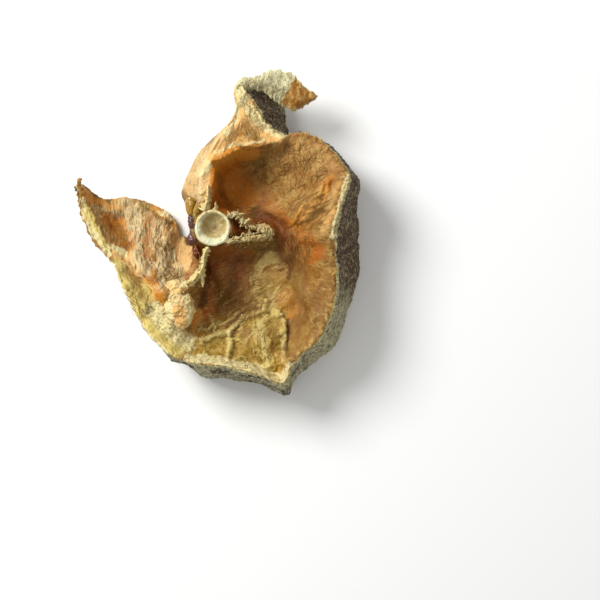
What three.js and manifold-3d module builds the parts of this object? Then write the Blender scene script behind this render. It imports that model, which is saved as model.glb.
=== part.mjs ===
// A steak of stockfish: one slice sawn straight across an air-dried cod, belly open and lying on a cut face.
//
// The slice is a horseshoe. It starts at the tip of the lower belly flap, follows the flank round the two
// shrunken loins of the back, and ends at the tip of the upper flap. Every cross-section of it has four
// corners: the upper edge of the belly wall (inner), the upper edge of the skin (rim), the lower edge of the
// skin (hem) and the lower edge of the belly wall (root). Each corner runs on a smooth curve, and the four
// faces between the curves are the cut face, the skin, the lower cut face and the belly wall.
//
// Millimetres, +Z up. The origin is under the middle of the slice's box, and the backbone stands at SPINE.

import * as THREE from 'three';
import { mergeVertices } from 'three/addons/utils/BufferGeometryUtils.js';
import Module from 'manifold-3d';

const wasm = await Module();
wasm.setup();

// ---------------------------------------------------------------- driving dimensions

const SPINE = [-1.15, 1.55];     // where the backbone's axis stands, from the middle of the box

const BONE_RADIUS = 6.5;         // a vertebra, across its rim
const BONE_TOP = 28;             // two vertebrae end to end, sawn off at the top and bottom
const BONE_WAIST = 5;            // each vertebra narrows to this between its two rims
const CUP_DEPTH = 5;             // both ends of a vertebra are hollow cones
const CUP_WALL = 1.3;
const BONE_GAP = 0.35;           // the dried flesh has shrunk clear of the bone by this much

const FLOOR_RISE = 0.35;         // the share by which a bowl gets shallower on its way to the rim
const LOWER_BOWL = 0.3;          // the lower cut face is hollowed by this share of the upper one
const SAWN_FLAT = 0.7;           // what is left flat there: all that would be hollowed by less than this
const SKIN_BULGE = 1.5;
const SKIN_BUCKLE = 0.7;         // the skin wall has dried into shallow upright waves
const FLAP_HOLLOW = 3.5;

const ROWS_PER_STATION = 4;
const CUT_STEPS = 24;
const SKIN_STEPS = 5;
const BASE_STEPS = 7;
const WALL_STEPS = 9;

// The cross-sections, measured from the backbone's axis: the four corners, how deep the flesh has sunk in that
// section (bowl), the distance in which it rises again to the rim (climb), and how far from the belly wall the
// flesh stays level before it sinks (shelf).
const sections = [
  // inner               rim                   hem                   root             bowl climb shelf
  // the lower belly flap, from its tip
  [[-48.4, 16.0, 17.0], [-49.4, 16.0, 18.0], [-49.0, 15.4, 13.0], [-48.0, 16.4, 14.0], 0, 5, 0],
  [[-46.6, 9.0, 15.0], [-49.4, 8.8, 16.0], [-42.5, 9.8, 2.0], [-41.0, 11.6, 5.0], 0, 5, 0],
  [[-40.8, -3.4, 17.0], [-44.2, -4.2, 18.0], [-34.0, 9.6, 0.0], [-32.5, 12.6, 3.0], 0, 5, 0],
  [[-32.0, -12.6, 19.0], [-37.0, -12.0, 20.0], [-26.5, 5.0, 0.0], [-22.7, 9.7, 3.0], 0, 5, 0],
  // the flank
  [[-24.1, -19.5, 22.0], [-31.6, -23.8, 23.0], [-24.5, -10.0, 0.0], [-15.1, 5.4, 2.0], 0.5, 5, 0],
  [[-17.6, -23.0, 25.0], [-24.6, -36.6, 25.0], [-22.6, -28.0, 0.0], [-13.0, -0.5, 1.0], 2, 5, 0],
  [[-11.9, -23.0, 26.0], [-16.2, -44.8, 26.0], [-16.0, -42.0, 0.0], [-11.4, -1.4, 0.5], 5, 6, 0],
  // the lower loin
  [[-7.2, -20.0, 26.0], [-9.0, -48.3, 26.0], [-8.0, -51.5, 0.0], [-10.4, -1.5, 0.0], 11, 6, 0],
  [[-4.7, -15.8, 26.0], [2.5, -49.5, 26.0], [3.0, -55.0, 0.0], [-9.9, -1.4, 0.0], 15, 5, 0],
  [[-4.5, -12.2, 25.5], [14.4, -52.0, 26.0], [15.0, -56.8, 0.0], [-9.6, -1.1, 0.0], 16, 5, 0],
  [[-5.5, -8.8, 25.0], [25.2, -56.0, 25.0], [26.0, -59.8, 0.0], [-9.4, -0.7, 0.0], 14, 5, 0],
  [[-6.8, -6.2, 25.0], [28.6, -49.0, 25.0], [31.0, -53.0, 0.0], [-9.3, -0.2, 0.0], 13, 8, 0],
  [[-7.6, -4.0, 25.0], [39.0, -38.6, 28.0], [44.0, -42.0, 0.0], [-9.3, 0.4, 0.0], 14, 12, 0],
  [[-7.9, -2.0, 25.0], [44.2, -22.0, 29.0], [51.6, -23.0, 0.0], [-9.3, 1.1, 0.0], 14, 18, 0],
  // the back, where the two loins meet
  [[-7.9, 0.2, 25.0], [43.6, -5.4, 30.0], [53.6, -5.0, 0.0], [-9.3, 2.0, 0.0], 11, 23, 0],
  [[-7.8, 2.6, 25.0], [45.4, 6.4, 30.0], [53.0, 7.0, 0.0], [-9.3, 3.4, 0.0], 14, 30, 0],
  // the upper loin
  [[-7.0, 5.6, 25.5], [48.6, 18.8, 30.0], [50.8, 19.0, 0.0], [-9.5, 5.4, 0.0], 17, 33, 1],
  [[-5.2, 9.8, 26.0], [40.4, 30.0, 29.0], [39.5, 29.4, 0.0], [-11.2, 9.0, 0.0], 17, 32, 3.2],
  [[-4.0, 14.0, 27.0], [31.0, 34.4, 28.0], [30.0, 33.0, 0.0], [-13.4, 14.0, 0.0], 15, 22, 4.6],
  // the neck of the upper flap, where the skin turns to the top
  [[-3.6, 20.9, 28.0], [25.2, 33.6, 26.0], [26.2, 35.6, 0.0], [-11.0, 20.0, 0.0], 10, 14, 5],
  [[0.8, 29.9, 28.5], [17.6, 38.9, 27.0], [26.2, 40.4, 0.0], [-6.4, 29.2, 0.0], 3, 8, 3],
  [[8.0, 41.0, 28.0], [14.6, 44.6, 27.5], [26.0, 44.6, 0.0], [6.8, 42.5, 0.0], 0.5, 5, 0],
  [[8.2, 51.0, 27.0], [10.2, 51.8, 27.0], [24.6, 49.6, 5.0], [7.8, 52.0, 4.0], 0, 5, 0],
  [[15.6, 55.0, 20.0], [16.8, 55.4, 20.0], [18.6, 54.6, 13.0], [15.8, 55.6, 13.0], 0, 5, 0],
];
const [INNER, RIM, HEM, ROOT, BOWL, CLIMB, SHELF] = [0, 1, 2, 3, 4, 5, 6];
const HOLLOW_FLAP = { at: 2.2, reach: 1.2 };     // in sections: where the lower flap is dished most

// The neck of the upper flap stays level above this line in plan, and the upper bowl begins below it.
const NECK_LINE = [[-8, 17], [-0.4, 22.6], [7.9, 27], [17.6, 29], [24.5, 31], [30, 40]];

// Folds that stand out of a face: the line each one follows in plan, its height and about half its width.
// A negative height is a groove.
const cutFolds = [
  { name: 'fin between the loins', line: [[7, -1], [21, -2.4], [34, -3.4], [43, -4.6]], height: 4, width: 2.6 },
  { name: 'loose lining', line: [[26, -10.5], [20.5, -10], [15.8, -13.7], [14.4, -19.4], [17.6, -26]],
    height: 2.4, width: 1.7 },
  { name: 'slanting flake wall', line: [[-4.5, -40], [5.4, -37.4], [9.7, -33], [17.6, -29.5], [19, -26]],
    height: 2, width: 1.7 },
  { name: 'short flake wall', line: [[5.4, -37.4], [5, -46.5]], height: 1.6, width: 1.5 },
  { name: 'flake bundle', line: [[16.2, -35], [17.6, -42], [19.8, -50]], height: 2.4, width: 2.8 },
  { name: 'corner flake', line: [[23.4, -31], [25.4, -40], [24.4, -48]], height: 2, width: 1.7 },
  { name: 'outer flake', line: [[30, -20], [35, -27], [36, -35]], height: 2, width: 2 },
  { name: 'neck crest', line: [[-0.4, 23.4], [7.9, 28], [17.6, 29.4], [24.5, 31.4]], height: 1.6, width: 2 },
  { name: 'loin groove', line: [[30, -0.5], [37.8, 3.2], [42, 8.6], [43.4, 15]], height: -1.6, width: 2 },
  { name: 'loin ridge', line: [[30, 4.5], [35, 8.5], [39, 15]], height: 1.2, width: 2.2 },
];
const wallFolds = [
  { name: 'first lining fold', line: [[-28.4, 10], [-27.7, 1], [-28.8, -8], [-26.3, -14.4]],
    height: 1.6, width: 2.2 },
  { name: 'second lining fold', line: [[-19, 4.7], [-18, -4.3], [-19, -12.2], [-18, -17]],
    height: 1.3, width: 1.8 },
  { name: 'flap pit', line: [[-37.5, 4], [-36, -1], [-33, -6]], height: -2.6, width: 3.4 },
];

// Dried flesh is nowhere flat: shallow waves in plan, each with its run in x and y, its phase and its height.
const ripples = [[0.55, 0.31, 1.3, 0.3], [-0.27, 0.62, 0, 0.26], [0.9, -0.75, 2.1, 0.2]];

// Torn bits that stand free of the slice: the middle line, and the width across and height upright along it.
const torn = {
  flapTip: {
    line: [
      [17.2, 50.6, 17], [23.4, 50.8, 20], [28.6, 50.4, 20.5], [32.4, 50, 18.5], [35.4, 49.8, 17], [37.8, 50, 16.5],
    ],
    width: [11, 13, 12, 7, 4, 2.4],
    height: [4, 3, 2.4, 2, 1.6, 1.2],
    rows: 14,
    sides: 12,
  },
  hook: {
    line: [[-47.8, 13.6, 15.5], [-49.2, 16.2, 18], [-48.8, 17.8, 19.6], [-47.6, 17.2, 20.6]],
    width: [2.6, 2, 1.4, 0.8],
    height: [2.6, 2, 1.4, 0.8],
  },
  lowerShred: {
    line: [[-1.6, -6.8, 26], [-3, -10, 27], [-3.2, -14, 27], [-5.5, -18, 26.5], [-9, -20.5, 26]],
    width: [2.2, 1.8, 1.6, 2.2, 2],
    height: [4, 5, 5, 5, 3],
  },
  spike: {
    line: [[-4.2, -13.5, 26.5], [-3.6, -17, 26], [-3.4, -20.8, 24.5]],
    width: [2.2, 1.6, 0.5],
    height: [3, 2, 0.8],
  },
  upperShred: {
    line: [[-1.6, 6.6, 26], [-1.4, 10.5, 27.5], [-2.2, 15.5, 27.5]],
    width: [2.6, 1.8, 1.2],
    height: [4, 4.5, 3],
  },
};
const GRISTLE = { radii: [5.4, 9.6, 5.2], turn: 0.22, centre: [-12.4, -25.8, 22] };

// The arch over the spinal cord: two crusty legs that meet in a spine pointing at the back.
const archLegs = [
  {
    line: [[4.6, 4.2, 24], [8.4, 4.6, 23.5], [12.2, 1.2, 22.5], [17, -0.6, 21.5], [21.4, -1.8, 20]],
    width: [2.4, 2.6, 2.8, 3, 2],
    height: [8, 8, 9, 9, 7],
  },
  {
    line: [[4.4, -4.6, 23.5], [8.6, -4.2, 23], [12.6, -3.4, 22.2], [17, -2.8, 21.2], [21, -2.6, 20]],
    width: [2.4, 2.2, 2.6, 3, 2],
    height: [8, 8, 8.5, 8.5, 7],
  },
];

// ---------------------------------------------------------------- numbers and curves

const clamp01 = (x) => Math.min(1, Math.max(0, x));
const mix = (a, b, t) => a + (b - a) * t;
const mixPoint = (a, b, t) => a.map((value, axis) => mix(value, b[axis], t));
const bell = (distance, width) => Math.exp(-((distance / width) ** 2));

function smoothstep(low, high, x) {
  const t = clamp01((x - low) / (high - low));
  return t * t * (3 - 2 * t);
}

// A smooth value through a row of values at place u, by Catmull-Rom.
function follow(values, u) {
  const last = values.length - 1;
  const i = Math.min(Math.floor(u), last - 1);
  const t = u - i;
  const at = (k) => values[Math.min(Math.max(k, 0), last)];
  const [p0, p1, p2, p3] = [at(i - 1), at(i), at(i + 1), at(i + 2)];
  return 0.5 * (2 * p1 + (p2 - p0) * t + (2 * p0 - 5 * p1 + 4 * p2 - p3) * t * t
    + (3 * p1 - p0 - 3 * p2 + p3) * t * t * t);
}

const followPoints = (points, u) => [0, 1, 2].map((axis) => follow(points.map((p) => p[axis]), u));
const corner = (which, u) => followPoints(sections.map((s) => s[which]), u);
const number = (which, u) => follow(sections.map((s) => s[which]), u);

// How far the place x, y is from a line of points, in plan.
function distanceTo(line, x, y) {
  let nearest = Infinity;
  for (let i = 0; i + 1 < line.length; i++) {
    const [ax, ay] = line[i];
    const [runX, runY] = [line[i + 1][0] - ax, line[i + 1][1] - ay];
    const along = clamp01(((x - ax) * runX + (y - ay) * runY) / (runX * runX + runY * runY));
    nearest = Math.min(nearest, Math.hypot(x - ax - along * runX, y - ay - along * runY));
  }
  return nearest;
}

// How far y is below a line of points that runs from left to right.
function belowLine(line, x, y) {
  const after = Math.min(Math.max(1, line.findIndex(([at]) => at > x)), line.length - 1);
  const [[x0, y0], [x1, y1]] = [line[after - 1], line[after]];
  return mix(y0, y1, clamp01((x - x0) / (x1 - x0))) - y;
}

// How much the folds of a face and its ripples raise the place x, y.
function relief(folds, x, y) {
  const bank = (fold) => fold.height * bell(distanceTo(fold.line, x, y), fold.width);
  const wave = ([kx, ky, phase, height]) => height * Math.sin(kx * x + ky * y + phase);
  return folds.reduce((sum, fold) => sum + bank(fold), 0) + ripples.reduce((sum, ripple) => sum + wave(ripple), 0);
}

// ---------------------------------------------------------------- closed solids

// A closed solid from points and triangles, turned right side out.
function closedSolid(points, triangles) {
  const build = (faces) => new wasm.Manifold(new wasm.Mesh({
    numProp: 3,
    vertProperties: new Float32Array(points.flat()),
    triVerts: new Uint32Array(faces.flat()),
  }));
  const solid = build(triangles);
  return solid.volume() > 0 ? solid : build(triangles.map(([a, b, c]) => [a, c, b]));
}

function solidOf(geometry) {
  geometry.deleteAttribute('normal');
  geometry.deleteAttribute('uv');
  const merged = mergeVertices(geometry, 1e-4);
  const place = merged.attributes.position;
  const points = Array.from({ length: place.count }, (_, i) => [place.getX(i), place.getY(i), place.getZ(i)]);
  const triangles = [];
  for (let i = 0; i < merged.index.count; i += 3) {
    triangles.push([merged.index.getX(i), merged.index.getX(i + 1), merged.index.getX(i + 2)]);
  }
  return closedSolid(points, triangles);
}

// A closed skin over rings of points of equal length, with a point in the middle of each end.
function loft(rings) {
  const sides = rings[0].length;
  const middle = (ring) => [0, 1, 2].map((axis) => ring.reduce((sum, p) => sum + p[axis], 0) / sides);
  const points = [...rings.flat(), middle(rings[0]), middle(rings[rings.length - 1])];
  const lastRow = (rings.length - 1) * sides;
  const triangles = [];
  for (let side = 0; side < sides; side++) {
    const next = (side + 1) % sides;
    for (let row = 0; row < lastRow; row += sides) {
      triangles.push([row + side, row + next, row + next + sides]);
      triangles.push([row + side, row + next + sides, row + side + sides]);
    }
    triangles.push([points.length - 2, next, side]);
    triangles.push([points.length - 1, lastRow + side, lastRow + next]);
  }
  return closedSolid(points, triangles);
}

// An oval section carried along a line, its width across and height upright given at each point.
function strip({ line, width, height, rows = 10, sides = 8 }, grow = 0) {
  const last = line.length - 1;
  const rings = [];
  for (let row = 0; row <= rows; row++) {
    const u = (row / rows) * last;
    const [x, y, z] = followPoints(line, u);
    const back = followPoints(line, Math.max(0, u - 0.05));
    const ahead = followPoints(line, Math.min(last, u + 0.05));
    const run = Math.hypot(ahead[0] - back[0], ahead[1] - back[1]);
    const across = [(back[1] - ahead[1]) / run, (ahead[0] - back[0]) / run];
    const reach = follow(width, u) / 2 + grow;
    const lift = follow(height, u) / 2 + grow;
    const ring = [];
    for (let side = 0; side < sides; side++) {
      const turn = (side / sides) * 2 * Math.PI;
      const out = reach * Math.cos(turn);
      ring.push([x + across[0] * out, y + across[1] * out, z + lift * Math.sin(turn)]);
    }
    rings.push(ring);
  }
  return loft(rings);
}

function largest(solid) {
  return solid.decompose().reduce((best, body) => (body.volume() > best.volume() ? body : best));
}

// ---------------------------------------------------------------- the flesh and skin

// How far a cut face has sunk at (u, v), between its edge at the belly wall and its edge at the skin.
function sink(u, v, wallEdge, skinEdge) {
  const across = Math.hypot(skinEdge[0] - wallEdge[0], skinEdge[1] - wallEdge[1]);
  const [x, y] = mixPoint(wallEdge, skinEdge, v);
  const besideBone = smoothstep(BONE_RADIUS - 1, BONE_RADIUS + 5, Math.hypot(x, y));
  const shelf = number(SHELF, u);
  const belowNeck = smoothstep(-0.5, 5, belowLine(NECK_LINE, x, y));
  const besideWall = smoothstep(shelf, 0.6 * shelf + 6, v * across) * belowNeck;
  const besideSkin = smoothstep(0, number(CLIMB, u), (1 - v) * across);
  const depth = Math.max(0, number(BOWL, u)) * (1 - FLOOR_RISE * smoothstep(0.3, 0.9, v));
  return depth * besideBone * besideWall * besideSkin;
}

function cutFace(u, inner, rim, v) {
  const [x, y, z] = mixPoint(inner, rim, v);
  const awayFromEdges = smoothstep(0, 0.1, v) * smoothstep(1, 0.92, v);
  return [x, y, z - sink(u, v, inner, rim) + relief(cutFolds, x, y) * awayFromEdges];
}

function skin(u, outward, rim, hem, v) {
  const [x, y, z] = mixPoint(rim, hem, v);
  const buckle = SKIN_BUCKLE * (Math.sin(5.3 * u) + Math.sin(3.1 * u + 4 * v));
  const bulge = (SKIN_BULGE + buckle) * Math.sin(Math.PI * v);
  return [x + outward[0] * bulge, y + outward[1] * bulge, Math.max(0, z)];
}

function lowerCutFace(u, hem, root, v) {
  const [x, y, z] = mixPoint(hem, root, v);
  return [x, y, Math.max(0, z) + Math.max(0, LOWER_BOWL * sink(u, 1 - v, root, hem) - SAWN_FLAT)];
}

function bellyWall(u, root, inner, v) {
  const [x, y, z] = mixPoint(root, inner, v);
  const dish = FLAP_HOLLOW * bell(u - HOLLOW_FLAP.at, HOLLOW_FLAP.reach) * Math.sin(Math.PI * v) ** 2;
  const awayFromEdges = smoothstep(0, 0.15, v) * smoothstep(1, 0.85, v);
  return [x, y, Math.max(0, z - dish + relief(wallFolds, x, y) * awayFromEdges)];
}

// One cross-section as a closed ring of points.
function crossSection(u) {
  const [inner, rim, hem, root] = [INNER, RIM, HEM, ROOT].map((which) => corner(which, u));
  const across = Math.hypot(rim[0] - inner[0], rim[1] - inner[1]);
  const outward = [(rim[0] - inner[0]) / across, (rim[1] - inner[1]) / across];
  const face = (steps, pointAt) => Array.from({ length: steps }, (_, i) => pointAt(i / steps));
  return [
    ...face(CUT_STEPS, (v) => cutFace(u, inner, rim, v)),
    ...face(SKIN_STEPS, (v) => skin(u, outward, rim, hem, v)),
    ...face(BASE_STEPS, (v) => lowerCutFace(u, hem, root, v)),
    ...face(WALL_STEPS, (v) => bellyWall(u, root, inner, v)),
  ];
}

function slice() {
  const rows = (sections.length - 1) * ROWS_PER_STATION;
  return loft(Array.from({ length: rows + 1 }, (_, row) => crossSection(row / ROWS_PER_STATION)));
}

// The pale lump of gristle where the flank joins the loin.
function gristle() {
  const lump = new THREE.SphereGeometry(1, 18, 12);
  lump.scale(...GRISTLE.radii);
  lump.rotateZ(GRISTLE.turn);
  lump.translate(...GRISTLE.centre);
  return solidOf(lump);
}

// ---------------------------------------------------------------- the backbone

// Two vertebrae end to end, each waisted like an hourglass, hollowed at the sawn top and bottom.
function vertebrae() {
  const half = BONE_TOP / 2;
  const mouth = BONE_RADIUS - CUP_WALL;
  const upperHalf = [
    [0, half - CUP_DEPTH], [mouth * 0.35, half - CUP_DEPTH * 0.82], [mouth * 0.85, half - 1.6], [mouth, half],
    [BONE_RADIUS - 0.2, half], [BONE_RADIUS, half - 0.7], [BONE_RADIUS - 0.5, half - 2],
    [BONE_WAIST, half - 5], [BONE_WAIST, half - 9],
    [BONE_RADIUS - 0.5, half - 12], [BONE_RADIUS - 0.3, half - 13.2],
  ];
  const lowerHalf = upperHalf.map(([radius, z]) => [radius, -z]).reverse();
  const profile = [...upperHalf, ...lowerHalf].map(([radius, z]) => new THREE.Vector2(radius, z + half));
  const turned = new THREE.LatheGeometry(profile, 28);
  turned.rotateX(Math.PI / 2);
  return solidOf(turned);
}

const backbone = archLegs.reduce((bone, leg) => bone.add(strip(leg)), vertebrae());

// The room the bone takes in the flesh, a little larger than the bone itself.
function boneSocket() {
  const bore = new THREE.CylinderGeometry(BONE_RADIUS + BONE_GAP, BONE_RADIUS + BONE_GAP, BONE_TOP * 2, 28);
  bore.rotateX(Math.PI / 2);
  bore.translate(0, 0, BONE_TOP / 2);
  return archLegs.reduce((room, leg) => room.add(strip(leg, BONE_GAP)), solidOf(bore));
}

// ---------------------------------------------------------------- the steak

const flesh = Object.values(torn).reduce((body, bit) => body.add(strip(bit)), slice().add(gristle()));
const steak = largest(flesh.subtract(boneSocket()));

function meshOf(name, solid, color, roughness) {
  const made = solid.getMesh();
  const geometry = new THREE.BufferGeometry();
  geometry.setAttribute('position', new THREE.BufferAttribute(made.vertProperties, 3));
  geometry.setIndex(new THREE.BufferAttribute(made.triVerts, 1));
  geometry.computeVertexNormals();
  const mesh = new THREE.Mesh(geometry, new THREE.MeshStandardMaterial({ color, roughness, metalness: 0 }));
  mesh.name = name;
  return mesh;
}

const group = new THREE.Group();
group.add(meshOf('steak', steak, 0xb0803f, 0.6));
group.add(meshOf('backbone', backbone, 0xd6cfa4, 0.65));
group.position.set(SPINE[0], SPINE[1], 0);

export default group;
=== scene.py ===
"""A steak of stockfish: one sawn slice of air-dried cod, seen from above, with its belly flaps open to the left.

The slice is one closed surface over cross-sections that run from the lower belly flap round the two sunken
loins to the upper flap. The backbone, its crusty arch, the torn lining and the crumbs are pieces of their own.
All shapes are worked out in millimetres from the backbone's axis and put into the mesh in metres.
"""

import math

import bpy
import numpy as np
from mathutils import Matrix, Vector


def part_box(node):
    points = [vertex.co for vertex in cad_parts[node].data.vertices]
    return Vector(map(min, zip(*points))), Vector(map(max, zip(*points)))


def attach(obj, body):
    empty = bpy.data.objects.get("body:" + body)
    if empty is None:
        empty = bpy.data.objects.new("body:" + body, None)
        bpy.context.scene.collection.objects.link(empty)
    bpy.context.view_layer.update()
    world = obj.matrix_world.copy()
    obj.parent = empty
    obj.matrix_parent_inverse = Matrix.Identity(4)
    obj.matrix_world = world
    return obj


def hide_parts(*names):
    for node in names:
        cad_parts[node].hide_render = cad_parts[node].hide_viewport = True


bl_info = {
    "name": "Stockfish Steak",
    "version": (1, 0, 0),
    "blender": (4, 5, 0),
    "location": "View3D > Sidebar > Stockfish",
    "description": "Builds a slice of air-dried cod with its backbone, torn lining and skin",
    "category": "Add Mesh",
}

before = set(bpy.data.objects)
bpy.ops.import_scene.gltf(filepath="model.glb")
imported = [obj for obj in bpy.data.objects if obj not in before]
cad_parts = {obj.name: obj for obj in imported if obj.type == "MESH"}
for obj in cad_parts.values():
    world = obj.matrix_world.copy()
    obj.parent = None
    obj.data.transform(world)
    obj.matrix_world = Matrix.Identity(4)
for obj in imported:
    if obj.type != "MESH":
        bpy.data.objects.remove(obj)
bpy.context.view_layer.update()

MM = 0.001
BONE_LOW, BONE_HIGH = (np.array(corner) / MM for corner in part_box("backbone"))
BONE_RADIUS = (BONE_HIGH[1] - BONE_LOW[1]) / 2
SPINE = np.array([BONE_LOW[0] + BONE_RADIUS, (BONE_LOW[1] + BONE_HIGH[1]) / 2, 0.0])
BONE_TOP = BONE_HIGH[2]


def paint(red, green, blue):
    """A colour from its 0 to 255 screen values: each share to the power 2.2, as light is added."""
    return tuple(round((part / 255) ** 2.2, 4) for part in (red, green, blue)) + (1.0,)


# ---------------------------------------------------------------- the form, in mm from the backbone's axis

# Cross-sections from the lower flap's tip to the upper flap's: the upper edge of the belly wall, the upper and
# the lower edge of the skin, the lower edge of the belly wall, the bowl's depth, and how far it takes to rise.
SECTIONS = np.array([
    # the lower belly flap
    [-48.4, 16.0, 17.0, -49.4, 16.0, 18.0, -49.0, 15.4, 13.0, -48.0, 16.4, 14.0, 0, 5],
    [-46.6, 9.0, 15.0, -49.4, 8.8, 16.0, -42.5, 9.8, 2.0, -41.0, 11.6, 5.0, 0, 5],
    [-40.8, -3.4, 17.0, -44.2, -4.2, 18.0, -34.0, 9.6, 0.0, -32.5, 12.6, 3.0, 0, 5],
    [-32.0, -12.6, 19.0, -37.0, -12.0, 20.0, -26.5, 5.0, 0.0, -22.7, 9.7, 3.0, 0, 5],
    # the flank
    [-24.1, -19.5, 22.0, -31.6, -23.8, 23.0, -24.5, -10.0, 0.0, -15.1, 5.4, 2.0, 0.5, 5],
    [-17.6, -23.0, 25.0, -24.6, -36.6, 25.0, -22.6, -28.0, 0.0, -13.0, -0.5, 1.0, 2, 5],
    [-11.9, -23.0, 26.0, -16.2, -44.8, 26.0, -16.0, -42.0, 0.0, -11.4, -1.4, 0.5, 5, 6],
    # the lower loin
    [-7.2, -20.0, 26.0, -9.0, -48.3, 26.0, -8.0, -51.5, 0.0, -10.4, -1.5, 0.0, 11, 6],
    [-4.7, -15.8, 26.0, 2.5, -49.5, 26.0, 3.0, -55.0, 0.0, -9.9, -1.4, 0.0, 15, 5],
    [-4.5, -12.2, 25.5, 14.4, -52.0, 26.0, 15.0, -56.8, 0.0, -9.6, -1.1, 0.0, 16, 5],
    [-5.5, -8.8, 25.0, 25.2, -56.0, 25.0, 26.0, -59.8, 0.0, -9.4, -0.7, 0.0, 14, 5],
    [-6.8, -6.2, 25.0, 28.6, -49.0, 25.0, 31.0, -53.0, 0.0, -9.3, -0.2, 0.0, 13, 8],
    [-7.6, -4.0, 25.0, 39.0, -38.6, 28.0, 44.0, -42.0, 0.0, -9.3, 0.4, 0.0, 14, 12],
    [-7.9, -2.0, 25.0, 44.2, -22.0, 29.0, 51.6, -23.0, 0.0, -9.3, 1.1, 0.0, 14, 18],
    # the back, where the two loins meet
    [-7.9, 0.2, 25.0, 43.6, -5.4, 30.0, 53.6, -5.0, 0.0, -9.3, 2.0, 0.0, 11, 23],
    [-7.8, 2.6, 25.0, 45.4, 6.4, 30.0, 53.0, 7.0, 0.0, -9.3, 3.4, 0.0, 14, 30],
    # the upper loin
    [-7.0, 5.6, 25.5, 48.6, 18.8, 30.0, 50.8, 19.0, 0.0, -9.5, 5.4, 0.0, 17, 33],
    [-5.2, 9.8, 26.0, 40.4, 30.0, 29.0, 39.5, 29.4, 0.0, -11.2, 9.0, 0.0, 17, 32],
    [-4.0, 14.0, 27.0, 31.0, 34.4, 28.0, 30.0, 33.0, 0.0, -13.4, 14.0, 0.0, 15, 22],
    # the neck of the upper flap
    [-3.6, 20.9, 28.0, 25.2, 33.6, 26.0, 26.2, 35.6, 0.0, -11.0, 20.0, 0.0, 10, 14],
    [0.8, 29.9, 28.5, 17.6, 38.9, 27.0, 26.2, 40.4, 0.0, -6.4, 29.2, 0.0, 3, 8],
    [8.0, 41.0, 28.0, 14.6, 44.6, 27.5, 26.0, 44.6, 0.0, 6.8, 42.5, 0.0, 0.5, 5],
    [8.2, 51.0, 27.0, 10.2, 51.8, 27.0, 24.6, 49.6, 5.0, 7.8, 52.0, 4.0, 0, 5],
    [15.6, 55.0, 20.0, 16.8, 55.4, 20.0, 18.6, 54.6, 13.0, 15.8, 55.6, 13.0, 0, 5],
])
INNER, RIM, HEM, ROOT, BOWL, CLIMB = slice(0, 3), slice(3, 6), slice(6, 9), slice(9, 12), 12, 13
HOLLOW_FLAP_AT, HOLLOW_FLAP_REACH = 2.2, 1.2
BONE_HOLE = 10

# Folds of the cut face and of the belly wall: the height, about half the width, and x and y of each point of
# the line in plan.
CUT_FOLDS = {
    "fin between the loins": (4, 2.6, 7, -1, 21, -2.4),
    "end of the fin": (2.0, 3, 25, -2.7, 34, -3.4, 43, -4.6),
    "loose lining": (0.6, 3.2, 26, -10.5, 20.5, -10, 15.8, -13.7, 14.4, -19.4, 17.6, -26),
    "pit past the arch": (-2.4, 2.6, 20.5, 3.4, 24, 0.6, 27, -4),
    "slanting flake wall": (0.7, 1.1, -4.5, -40, 5.4, -37.4, 9.7, -33, 17.6, -29.5, 19, -26),
    "short flake wall": (0.6, 1.0, 5.4, -37.4, 5, -46.5),
    "flake bundle": (1.8, 3.4, 16.2, -35, 17.6, -42, 19.8, -50),
    "corner flake": (1.4, 1.5, 23.4, -31, 25.4, -40, 24.4, -48),
    "outer flake": (2, 2, 30, -20, 35, -27, 36, -35),
    "neck crest": (1.6, 2, -0.4, 23.4, 7.9, 28, 17.6, 29.4, 24.5, 31.4),
    "loin groove": (-1.6, 2, 30, -0.5, 37.8, 3.2, 42, 8.6, 43.4, 15),
    "loin ridge": (1.2, 2.2, 30, 4.5, 35, 8.5, 39, 15),
}
CREST_FOLDS = {
    "slanting flake wall": (0.9, 0.5, -4.5, -40, 1, -38.2, 5.4, -36.4, 9.7, -33, 14, -29.6, 19, -26),
    "second slanting wall": (0.6, 0.45, -6, -37, 0, -35, 4, -34.6, 9, -30, 15, -27.4),
    "short flake wall": (1.0, 0.4, 5.4, -37.4, 5.7, -41, 5, -46.5),
    "left of the bundle": (0.9, 0.5, 13.6, -31, 14.6, -36, 15, -41, 17.4, -48),
    "in the bundle": (0.7, 0.4, 16.4, -34, 17.2, -38, 17.6, -44, 19.4, -49),
    "right of the bundle": (0.9, 0.5, 18.6, -34, 20.2, -40, 21.4, -48),
    "corner flake": (1.1, 0.45, 23.4, -29, 26.4, -34, 26, -40, 24.4, -48),
    "loose hem": (1.0, 0.5, 26.2, -9.6, 25.8, -14.4, 21, -14.8),
    "loose border": (0.9, 0.45, 16, -8, 13.4, -14, 13.8, -20, 17, -26.4),
    "loose pleat": (0.7, 0.45, 23.6, -9, 21.6, -12.6, 17.4, -14.4, 16.4, -20),
    "twig": (0.6, 0.45, -1.5, -33, 2.4, -31.4, 5, -29.4),
    "second twig": (0.6, 0.45, 3, -27, 8, -25, 13, -27.6),
    "orange crease": (-1.2, 0.9, 27, -0.7, 31, 4, 35, 8.2, 38.5, 10.1, 40.6, 14, 42.4, 17),
    "beside the crease": (0.8, 1.0, 27.6, 1.6, 31, 6.8, 35, 10.6, 38, 12.4),
    "first ray": (-0.5, 0.8, 30, 0, 36, 4.6, 42, 7),
    "second ray": (-0.5, 0.8, 31, -2, 37, 1.4, 43, 2),
    "web ridge": (0.6, 0.6, 22, 4, 24, 8, 23, 13),
    "second web ridge": (0.5, 0.7, 25, 3, 29, 9, 34, 13),
    "neck crest": (0.9, 0.8, -0.4, 23.4, 3, 25.6, 7.9, 27.6, 12, 29.4, 17.6, 29.6, 22, 31),
    "neck fold": (0.45, 0.9, 11.4, 46, 14, 40, 19, 33),
    "second neck fold": (0.3, 0.9, 9.6, 47, 10.6, 40, 14.6, 33),
}
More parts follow.
